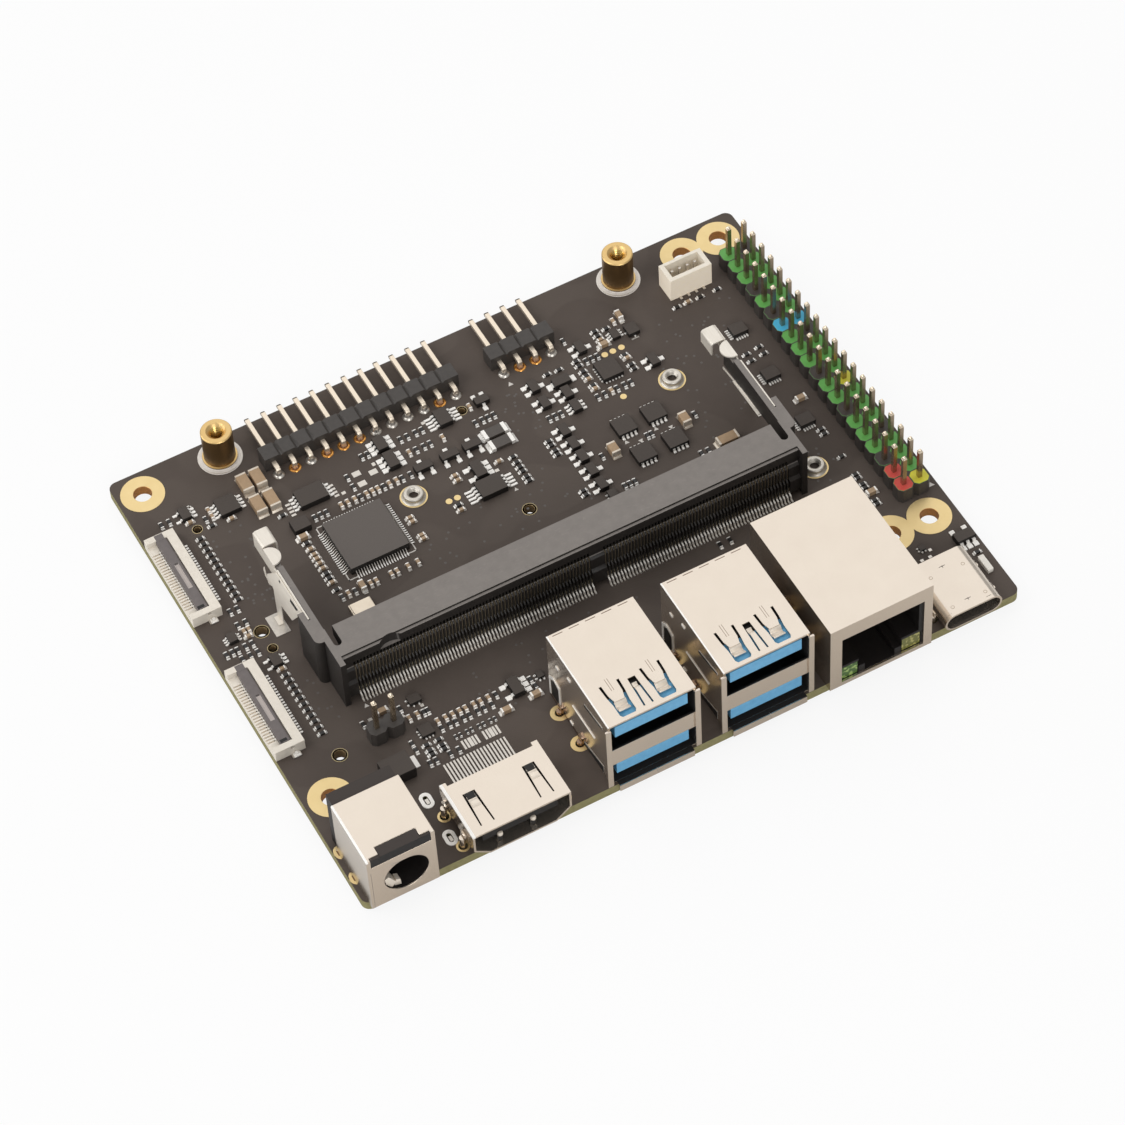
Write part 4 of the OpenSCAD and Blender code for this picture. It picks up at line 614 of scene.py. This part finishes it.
# The fan socket is moulded in milky nylon, open at the top, with four tinned pins by its closed back wall. The sides of
# its two outer walls are given a faint painted glow, standing in for light through the thin walls, and its other faces
# a fainter one.
milky = Finish("milky_plastic")
outer = (milky.axis("Y") < 29.9) | (milky.axis("X") < 34.6)
painted_glow = milky.mix(outer * milky.step(milky.facing("Z"), 0.8, 0.2), (20, 18, 16), (138, 127, 111))
milky.surface(milky.mix(milky.grain(1.2, 3), (232, 223, 206), (244, 236, 222)), milky.grain(4) * 0.15 + 0.42,
              Emission_Color=painted_glow, Emission_Strength=1.0)
dress(milky, "fan_housing")
ease(0.04, "fan_housing")
back_wall = Shape()
for x in (85.1, 89.45):
    back_wall.box((x, 71.9, 1.5), (x + 1, 72.4, 4.2))
back_wall.piece("fan_back_wall", "board", milky)
fan_pins = Shape()
fan_x, fan_pitch = 85.9, 1.25
for k in range(4):
    x = fan_x + fan_pitch * k
    fan_pins.box((x - 0.2, 71.0, 1), (x + 0.2, 71.4, 3.4)).box((x - 0.2, 68.3, 0), (x + 0.2, 68.9, 0.2))
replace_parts(fan_pins.piece("fan_pin_bars", "board", tin, bevel=0.06), "fan_pins")

# The ribbon sockets are moulded in cream liquid crystal plastic, with a comb of tin-plated contacts.
# The contacts' tails and a metal anchor at each end are soldered to the board.
cream = Finish("cream_plastic")
cream.surface(cream.mix(cream.grain(1.2, 3), (222, 213, 198), (238, 230, 218)), cream.grain(4) * 0.15 + 0.42,
              bump=cream.bump(cream.grain(9, 3), 0.2, 0.00001))
dress(cream, "ribbon_housing_front", "ribbon_housing_back")
ease(0.04, "ribbon_housing_front", "ribbon_housing_back")
dress(tin, "ribbon_contacts_front", "ribbon_contacts_back", "ribbon_anchors")
# Strips across the comb are painted darker, as shade between its teeth.
shade = Finish("comb_stripe_shade")
shade.surface(shade.mix(shade.grain(4), (186, 168, 142), (206, 190, 166)), 0.5)
ribbon_front, ribbon_apart, ribbon_middle, ribbon_ways, ribbon_pitch = 25.95, 25.4, 7.8, 22, 0.5
ribbon_ys = {"front": ribbon_front, "back": ribbon_front + ribbon_apart}
comb_shade_strips, tails = Shape(), Shape()
for y0 in ribbon_ys.values():
    for i in range(ribbon_ways):
        y = y0 + ribbon_middle + (i - (ribbon_ways - 1) / 2) * ribbon_pitch
        comb_shade_strips.box((0.15, y - 0.07, 0.74), (1.1, y + 0.07, 0.8))
        tails.box((1.18, y - 0.1, 0.95), (1.34, y + 0.1, 1.25))
        tails.box((4.41, y - 0.13, 0.16), (4.62, y + 0.13, 0.5))
        tails.box((4.84, y - 0.13, 0.0), (5.25, y + 0.13, 0.22))
    # A dark strip along the flap's edge is painted shade in the gap between flap and comb.
    comb_shade_strips.box((1.06, y0 + 2.0, 0.78), (1.4, y0 + 13.6, 0.86), 1)
    tails.box((2.4, y0 - 0.8, 0.1), (3.4, y0 - 0.05, 0.3))
    tails.box((2.7, y0 - 0.45, 0.3), (3.1, y0 - 0.1, 0.6))
comb_shade_strips.piece("ribbon_comb_shade_strips", "board", shade, painted_shade_finish)
tails.piece("ribbon_tails", "board", cap, bevel=0.03, segments=1)

# A hinged flap of dark plastic clamps each ribbon. It has a recess for a fingernail, painted pale as a highlight, and a
# lug at its near end, with a strip painted dark as shadow beside it, and shuts beside a seat that is part of the
# housing.
flap = Finish("flap_plastic")
along = (flap.axis("Y") + (middle_y - ribbon_front)) % ribbon_apart
# The fingernail recess is painted pale as a highlight.
lit_recess = (abs(flap.axis("X") + 47.85) < 0.32) * (abs(along - 7.3) < 2.3)
flap.surface(flap.mix(lit_recess, flap.mix(flap.grain(1.5, 3), (96, 89, 87), (116, 108, 106)), (184, 174, 168)),
             flap.grain(5) * 0.15 + 0.4, bump=flap.bump(flap.grain(9), 0.2, 0.00001))
dress(flap, "ribbon_flap_front", "ribbon_flap_back")
ease(0.03, "ribbon_flap_front", "ribbon_flap_back")
for end, y0 in ribbon_ys.items():
    seat = Shape().box((1.45, y0 + 14.4, 1.86), (2.7, y0 + 15.5, 1.94))
    seat.piece("flap_seat_" + end, "board", flap, bevel=0.03, segments=1)
    lug = Shape().box((1.4, y0 + 1.0, 1.0), (1.7, y0 + 1.2, 1.9))
    # The dark strip on the lug is painted shadow at the flap's near end.
    lug.box((1.42, y0 + 1.15, 1.85), (2.5, y0 + 1.7, 1.912), 1)
    lug.piece("flap_lug_" + end, "flap_" + end, flap, painted_shade_finish, bevel=0.03, segments=1)

# The shells of the ports are steel sheet, nickel-plated, folded and pinned. Their fronts are painted a little darker
# than their roofs, and their left sides darker, as shade, and two long folds are painted white as highlights.
plate_dark, plate_light, front_shade_colour, highlight_white = (219, 207, 193), (226, 215, 201), (200, 184, 166), (255, 252, 247)
nickel = Finish("nickel_plate")
haze = nickel.grain(0.25, 3)
# Front and left faces are painted darker as shade, and two fold lines white as highlights.
front_shade = nickel.step(nickel.facing("Y"), -0.3, -0.9)
left_side_shade = nickel.step(nickel.facing("X"), -0.6, -0.95)
across, height = nickel.axis("X"), nickel.axis("Z")
fold_highlight = (across < -49.12) * (height > 13.62) + (abs(across + 34.15) < 0.22) * (height > 7.9)
plate = nickel.mix(left_side_shade, nickel.mix(haze, plate_dark, plate_light), (188, 176, 162))
plate = nickel.mix(fold_highlight, nickel.mix(front_shade, plate, front_shade_colour), highlight_white)
nickel.surface(plate, nickel.grain(3, 3, place=nickel.stretched(1, 0.2, 1)) * 0.08 + haze * 0.05 + 0.13,
               0.9 - fold_highlight * 0.8, nickel.bump(nickel.grain(7, 3), 0.05, 0.00001))
dress(nickel, "network_shell", "oval_shell", "video_shell", "jack_cover")
ease(0.12, "network_shell", "oval_shell", "video_shell")
ease(0.2, "jack_cover")

# The stacked ports: two tall shells side by side with sprung fingers cut from the roof. Their inner faces are painted
# black as shade, and their fronts darker as shade. Pressed marks show on the roof over each finger, painted dark as
# shade in their grooves, and a row of crimped joints closes its back edge. Round the foot the walls are brown, partly
# baked flux and partly a painted reflection of the board, and the left top edge is painted white as a highlight.
folded = Finish("folded_plate")
stack_left, stack_apart, stack_middle, roof_from = 36.7, 17.25, 6.55, 13.1
u = (folded.axis("X") + (middle_x - stack_left)) % stack_apart
y, z = folded.axis("Y") + middle_y, folded.axis("Z") - top_z
off_middle = abs(u - stack_middle)
# Inner faces behind the mouth, and a thin seam low in the front lip, are painted black as shade.
inner_shade = (off_middle < 6.29) * (y > 0.33) * (z > -0.35) * (z < 12.92)
inner_shade = inner_shade + (off_middle < 5.75) * (abs(y + 0.05) < 0.4) * (abs(z - 0.3) < 0.06)
# The pressed lines are dented by bump and painted dark as shade in their grooves.
pressed_groove_and_shade = (abs(abs(off_middle - 3.05) - 0.17) < 0.05) * (abs(y - 6.3) < 1.05) * (z > roof_from)
crimp = (abs(y - 16.85) < 0.07) * (abs(abs((u - 0.35) % 2.45 - 1.2) - 0.2) < 0.55) * (z > roof_from) * 0.8
# Near the foot the walls are painted brown: baked flux up to 0.7 mm, and on the side walls up to 1.8 mm a painted
# reflection of the board as well.
flux_and_reflection = (z < abs(off_middle > 6.58) * 1.1 + 0.7) * (y > 6)
# The bend at the left top edge is painted white as a highlight.
bend_highlight = (u < 0.2) * (z > roof_from)
panel = folded.mix(folded.grain(0.25, 3), plate_dark, plate_light)
# Front faces are painted darker as shade.
panel = folded.mix(folded.step(folded.facing("Y"), -0.3, -0.9), panel, front_shade_colour)
panel = folded.mix(flux_and_reflection * 0.8, panel, (112, 74, 38))
panel = folded.mix(inner_shade, panel, (24, 22, 21))
panel = folded.mix(pressed_groove_and_shade * 0.55 + crimp, panel, (92, 66, 44))
panel = folded.mix(bend_highlight, panel, highlight_white)
folded.surface(panel, folded.grain(3, 3, place=folded.stretched(1, 0.2, 1)) * 0.08 + 0.15 + inner_shade * 0.5,
               (1 - inner_shade) * (0.88 - bend_highlight * 0.8), folded.bump(folded.grain(7, 3) - pressed_groove_and_shade * 3, 0.05, 0.00001))
dress(folded, "stack_shell_left", "stack_shell_right")
ease(0.12, "stack_shell_left", "stack_shell_right")
# The tongues are blue at their front edges and roofs. Further in, and on the lower tongue's roof, they are painted dark
# as shadow.
blue = Finish("blue_tongue")
shadowed = (blue.axis("Y") > -34.5) | (blue.facing("Z") > 0.7) * (blue.axis("Z") < 11)
blue.surface(blue.mix(shadowed, blue.mix(blue.grain(1.5, 3), (86, 158, 204), (116, 184, 222)), (26, 24, 23)),
             blue.grain(5) * 0.15 + 0.4)
dress(blue, "stack_tongues_left", "stack_tongues_right")
ease(0.15, "stack_tongues_left", "stack_tongues_right")
satin = Finish("satin_nickel")
satin.surface(satin.mix(satin.grain(2, 3), (226, 214, 198), (244, 233, 218)), 0.36, 0.35)
stack_xs = (stack_left, stack_left + stack_apart)
side_finger = [(0, 0), (-0.25, -0.1), (-0.5, -0.5), (-0.9, -0.62), (-1.2, -0.3), (-1.55, -0.08)]
middle_finger = [(0.4, 0), (0.7, -0.06), (0.95, -0.3), (1.3, -0.34), (1.6, -0.1)]
springs = Shape()
for x0 in stack_xs:
    for c, path, width in ((stack_middle - 3, side_finger, 1.75), (stack_middle + 3, side_finger, 1.75),
                           (stack_middle, middle_finger, 0.75)):
        springs.join(Shape().strip(path, width, 0.2).put(lambda a, b, h: (x0 + c - b, 3.6 + a, 13.05 + h)))
springs.piece("stack_springs", "board", satin, bevel=0.05)
# On the left wall, given in y and z: a raised rib, rivets and a frame, painted bright as highlights, and slots and a
# cut-out painted dark as shade. The last is a seam in the front lip, painted dark as shade.
rib = [(4.3, 5.85), (10.4, 5.85), (10.4, 6.05), (4.3, 6.05)]
shaded_slots = ([(1.9, 10.9), (6.9, 10.0), (6.9, 10.6), (1.9, 11.35)],
              [(2.1, 0.6), (7.6, 0.4), (7.6, 1.1), (2.1, 2.2)])
rivets = [[(y, z), (y + 0.8, z), (y + 0.8, z + 0.4), (y, z + 0.4)] for y, z in ((13.9, 9.4), (10.6, 10.8), (10.6, 0.9))]
frame_line = [(13.9, 1.0), (14.3, 1.0), (14.3, 4.6), (15.6, 5.2), (16.6, 4.6), (16.6, 1.0), (17.0, 1.0),
              (17.0, 4.9), (15.8, 5.7), (14.0, 5.2)]
cut_out = [(14.4, 1.0), (16.5, 1.0), (16.5, 4.4), (15.6, 5.0), (14.4, 4.4)]
trim = Shape()
for x0 in stack_xs:
    for outline in (rib, *rivets, frame_line):
        trim.join(Shape().prism(outline, 0, 0.12).put(lambda y, z, a: (x0 - 0.005 - a, y, z)))
    for outline in (*shaded_slots, cut_out):
        trim.join(Shape().prism(outline, 0, 0.06, 1).put(lambda y, z, a: (x0 - 0.005 - a, y, z)))
    trim.box((x0 + stack_middle - 0.04, -0.61, -0.9), (x0 + stack_middle + 0.04, -0.29, 0.31), 1)
trim.piece("stack_side_marks", "board", cap, painted_shade_finish, bevel=0.02, segments=1)

# The mouldings inside the other ports are black plastic. Their upward faces higher than 6.1 mm over the board, as on
# the jack's where it shows above its cover, are painted paler as lit.
coal = Finish("black_moulding")
lit_upward = coal.step(coal.facing("Z"), 0.6, 0.9) * (coal.axis("Z") > 9)
coal.surface(coal.mix(lit_upward, coal.mix(coal.grain(1.5, 3), (24, 21, 20), (34, 30, 28)), (62, 55, 51)),
             coal.grain(4) * 0.15 + 0.45, bump=coal.bump(coal.grain(9), 0.2, 0.00001), Specular_IOR_Level=0.3)
dress(coal, "network_insert", "oval_tongue", "video_insert", "jack_body")
ease(0.06, "network_insert", "jack_body")
dress(tin, "video_tails", "jack_pin")

# The power jack and the video port have sprung contacts in their mouths. The roof of the video port has two raised
# spring tips over openings painted dark as shade, the jack's contacts have dark shade painted under them, and the
# jack's cover has a gap down the left of its front, painted as a dark line of shade.
mouth_parts = Shape()
for c in (18.5, 27.3):
    mouth_parts.box((c - 0.6, 4.45, 5.0), (c + 0.6, 5.55, 5.262), 1)
    mouth_parts.join(Shape().strip([(-0.15, 0), (0.2, 0.1), (0.5, 0.12), (0.95, 0.06), (1.25, -0.2)], 1.14, 0.16)
                     .put(lambda a, b, h: (c - b, 3.25 + a, 5.2 + h)))
for x in (19.85, 24.75):
    mouth_parts.turned(x, -0.35, [(0.0, 2.75), (0.28, 2.7), (0.4, 2.5), (0.42, 2.2), (0.3, 2.0), (0.0, 2.0)],
                       0, 20, False)
    mouth_parts.box((x - 0.35, -0.3, 0.5), (x + 0.35, 0.4, 2.1), 1)
mouth_parts.box((1.0, -1.104, 0.2), (1.06, -1.09, 8.2), 1)
for outline, depth, y0 in (([(2.95, 4.6), (3.1, 3.4), (3.9, 2.3), (4.5, 3.1), (3.9, 4.3), (3.5, 4.9)], 1.4, -0.7),
                           ([(4.3, 2.1), (5.3, 1.8), (5.2, 3.0), (4.6, 3.3)], 1.0, -0.5)):
    mouth_parts.join(Shape().prism(outline, 0, depth).put(lambda x, z, y: (x, y0 + y, z)))
mouth_parts.piece("port_springs", "board", satin, painted_shade_finish, bevel=0.04)

# The oval port's shell is drawn from one sheet. A collar is pressed round its mouth, with two locking marks and four
# dimples on its roof. The collar's crease and the locking marks are painted dark as shade, and the dimples darker than
# the roof as shade.
roof = max(v.co.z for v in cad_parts["oval_shell"].data.vertices) * 1000 - top_z
dimple_shade = Finish("pressed_mark_shade")
dimple_shade.surface(dimple_shade.mix(dimple_shade.grain(4), (150, 134, 116), (178, 162, 142)), 0.3, 0.8)
collar = Shape()
collar.skin([[(u, y, v) for u, v in oval(91.95, roof - 1.6, 2.87, 0, r)]
             for r, y in ((1.58, -0.42), (1.606, -0.42), (1.606, -0.36), (1.58, -0.36))])
dent_top = roof + 0.006
for x, y in ((91.7, 7.0), (91.9, 0.7)):
    collar.box((x - 0.5, y - 0.04, roof), (x + 0.45, y + 0.04, dent_top))
    collar.box((x - 0.04, y - 0.3, roof), (x + 0.04, y + 0.1, dent_top))
for x, y in ((94.35, 5.95), (94.5, 0.44), (89.35, 0.42), (89.35, 6.04)):
    collar.turned(x, y, [(0.2, roof), (0.27, roof), (0.27, dent_top), (0.2, dent_top)], 1, 20)
collar.piece("oval_collar", "board", painted_shade_finish, dimple_shade)

# The network socket has two small lamps behind clear windows, green on the left and yellow on the right, and
# eight pairs of gold wires.
window = Finish("lamp_window")
glint = window.step(window.grain(1.6, 2), 0.5, 0.62)
left = window.axis("X") < 27
window.surface(window.mix(glint, window.mix(left, (104, 104, 34), (62, 98, 30)),
                          window.mix(left, (170, 164, 92), (150, 178, 96))), 0.18)
dress(window, "network_lamps")
dress(gold, "network_wires")

# Chips are moulded in black epoxy. Their upward faces are painted grey, partly for their matt face and partly as
# painted light, and their sides dark as painted shade. Their leads are tinned copper, bent down to bright feet of
# solder that spread a little past them.


def islands(node):
    """Lowest and highest corners, in board millimetres, of each separate solid of a CAD node."""
    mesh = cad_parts[node].data
    group = list(range(len(mesh.vertices)))

    def root(i):
        while group[i] != i:
            group[i] = group[group[i]]
            i = group[i]
        return i

    spots = {}
    for v in mesh.vertices:
        key = tuple(round(c * 1e6) for c in v.co)
        group[root(v.index)] = root(spots.setdefault(key, v.index))
    for face in mesh.polygons:
        for v in face.vertices[1:]:
            group[root(v)] = root(face.vertices[0])
    found = {}
    for v in mesh.vertices:
        p = (v.co.x * 1000 + middle_x, v.co.y * 1000 + middle_y, v.co.z * 1000 - top_z)
        lo, hi = found.setdefault(root(v.index), ([1e9] * 3, [-1e9] * 3))
        for k in range(3):
            lo[k], hi[k] = min(lo[k], p[k]), max(hi[k], p[k])
    return sorted(([*lo], [*hi]) for lo, hi in found.values())


epoxy = Finish("chip_epoxy")
frost = epoxy.grain(7, 3)
epoxy_lit_top = epoxy.step(epoxy.facing("Z"), 0.6, 0.95)
epoxy_shaded_flank = epoxy.mix(frost, (30, 27, 25), (40, 36, 34))
epoxy.surface(epoxy.mix(epoxy_lit_top, epoxy_shaded_flank, epoxy.mix(frost, (66, 59, 54), (82, 74, 68))),
              frost * 0.16 + 0.45, bump=epoxy.bump(frost, 0.25, 0.00001), Specular_IOR_Level=0.3)
dress(epoxy, "small_chips", "power_diode", "inductor")
ease(0.06, "small_chips", "power_diode", "inductor")
dress(tin, "bare_pads", "solder_joints")
dress(cap, "small_chip_leads")
feet = Shape()
bodies = islands("small_chips")
for lo, hi in islands("small_chip_leads"):
    chip = min(bodies, key=lambda b: sum(max(b[0][k] - hi[k], lo[k] - b[1][k], 0) for k in (0, 1)))
    mid = [(lo[k] + hi[k]) / 2 for k in (0, 1)]
    outside = [max(chip[0][k] - mid[k], mid[k] - chip[1][k]) for k in (0, 1)]
    k = 0 if outside[0] > outside[1] else 1
    covered = 0.42 * (hi[k] - lo[k])
    width = hi[1 - k] - lo[1 - k]
    side, reach = (-0.045, 0.1) if width < 0.26 else (0.02, 0.2) if width < 0.36 else (0.14, 0.34)
    a, b = [lo[0] - side, lo[1] - side, 0.0], [hi[0] + side, hi[1] + side, 0.24]
    beyond = mid[k] > (chip[0][k] + chip[1][k]) / 2
    a[k], b[k] = (lo[k] + covered, hi[k] + reach) if beyond else (lo[k] - reach, hi[k] - covered)
    feet.box(a, b)
# The power diode has one wide terminal, which is bent up at its end.
feet.box((15.18, 15.6, 0.02), (16.3, 17.6, 0.24)).box((15.18, 15.6, 0.2), (15.27, 17.6, 1.7))
feet.piece("lead_feet", "board", cap, bevel=0.04, segments=1)

# The square chip's face is frosted. It has twenty fine leads on each side, which fall from its middle to flat
# feet wetted bright.
frosted = Finish("frosted_epoxy")
# Its upward face is painted grey, partly for its frosting and partly as painted light, and its sides dark as painted
# shade.
frosted.surface(frosted.mix(frosted.step(frosted.facing("Z"), 0.6, 0.95), (34, 31, 29),
                            frosted.mix(frosted.grain(7, 3), (82, 75, 70), (96, 88, 82))), 0.48)
dress(frosted, "hub_chip")
ease(0.06, "hub_chip")
hub_x, hub_y, hub_side, hub_pitch = 27.15, 52.9, 20, 0.4
fine = Shape()
for right, back in ((1, 0), (0, 1), (-1, 0), (0, -1)):
    for i in range(hub_side):
        shift = (i - (hub_side - 1) / 2) * hub_pitch
        lead = Shape().strip([(4.4, 0.6), (4.6, 0.56), (5.02, 0.17)], 0.1, 0.06, taper=(0.8, 0.9, 1))
        lead.strip([(4.96, 0.2), (5.12, 0.1), (5.52, 0.09)], 0.16, 0.1, 1)
        fine.join(lead.put(lambda a, b, h: (hub_x + a * right - (b + shift) * back,
                                            hub_y + a * back + (b + shift) * right, h)))
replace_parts(fine.piece("hub_lead_strips", "board", tin, cap), "hub_leads")

# Chip resistors are slips of white alumina with a black glass face, and ceramic capacitors are fired tan blocks.
# Both have tinned caps at their ends that the solder wets up from the pads.


def two_ended(node, split, low, tall):
    """The parts of a CAD node, each with a cap at both ends of its length and solder spread on the pads beyond.
    low and tall are the lengths of cap and solder for parts lower and higher than split."""
    shape = Shape()
    for lo, hi in islands(node):
        band, pad = low if hi[2] < split else tall
        long = 0 if hi[0] - lo[0] > hi[1] - lo[1] else 1
        wide = 1 - long
        a, b = [*lo], [*hi]
        a[long], b[long] = lo[long] + band, hi[long] - band
        a[wide], b[wide] = lo[wide] + 0.02, hi[wide] - 0.02
        a[2], b[2] = max(lo[2], 0.03), hi[2] - 0.02
        shape.box(a, b)
        for end, inner, out in ((lo[long], lo[long] + band, -pad), (hi[long], hi[long] - band, pad)):
            a, b = [*lo], [*hi]
            a[long], b[long] = sorted((end, inner))
            shape.box(a, b, 1)
            foot, upper = ([(end, lo[wide] + inset), (end + reach, lo[wide] + inset),
                            (end + reach, hi[wide] - inset), (end, hi[wide] - inset)]
                           for reach, inset in ((out, -0.03), (out * 0.25, 0.04)))
            if long:
                foot, upper = ([(q, p) for p, q in outline] for outline in (foot, upper))
            shape.prism(foot, 0.0, 0.03, 1)
            shape.prism(foot, 0.03, min(0.3, hi[2] * 0.6), 1, upper)
    return shape


film = Finish("resistor_film")
film.surface(film.mix(film.grain(5), (66, 60, 55), (84, 77, 71)), 0.4)
sensing = two_ended("sense_resistors", 0, (0.6, 0.45), (0.6, 0.45))
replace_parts(sensing.piece("sense_resistor_slips", "board", film, cap, bevel=0.05, segments=1), "sense_resistors")
glass = Finish("resistor_glass")
glass.surface(glass.mix(glass.grain(6, 2), (26, 24, 23), (40, 37, 35)), glass.grain(5) * 0.1 + 0.3)
slips = two_ended("chip_resistors", 0.3, (0.13, 0.12), (0.16, 0.24))
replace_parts(slips.piece("resistor_slips", "board", glass, cap, bevel=0.03, segments=1), "chip_resistors")
pale_ceramic = Finish("pale_ceramic")
pale_ceramic.surface(pale_ceramic.mix(pale_ceramic.grain(3, 3), (150, 126, 100), (186, 160, 130)), 0.5)
blocks = two_ended("chip_capacitors", 0.7, (0.2, 0.25), (0.27, 0.3))
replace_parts(blocks.piece("capacitor_blocks", "board", pale_ceramic, cap, bevel=0.05, segments=1), "chip_capacitors")

# The large capacitors are tan ceramic too, fired in many layers.
# Their caps are fired on and dull, and are soldered down at both ends.
ceramic = Finish("tan_ceramic")
fired = ceramic.grain(3, 3)
ceramic.surface(ceramic.mix(fired, (158, 131, 101), (180, 152, 120)), fired * 0.2 + 0.45)
fired_cap = Finish("fired_cap")
fired_cap.surface(fired_cap.mix(fired_cap.grain(2, 3), (196, 183, 166), (232, 222, 207)), 0.34, 0.3)
large_blocks = two_ended("large_capacitors", 0, (0.32, 0.35), (0.32, 0.35))
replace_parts(large_blocks.piece("large_capacitor_blocks", "board", ceramic, fired_cap, bevel=0.1), "large_capacitors")

# The crystal is sealed in a ceramic tray under a plated lid. The small white light by the oval port
# sits in a clear dome.
lid = Finish("crystal_lid")
lid.surface(lid.mix(lid.grain(1, 3), (212, 198, 178), (232, 220, 202)), lid.grain(4) * 0.12 + 0.24, 0.85)
dress(lid, "crystal")
ease(0.06, "crystal")
dome = Finish("white_dome")
dome.surface(dome.mix(dome.grain(2), (226, 220, 208), (244, 240, 232)), 0.22)
dress(dome, "power_light")
ease(0.15, "power_light")
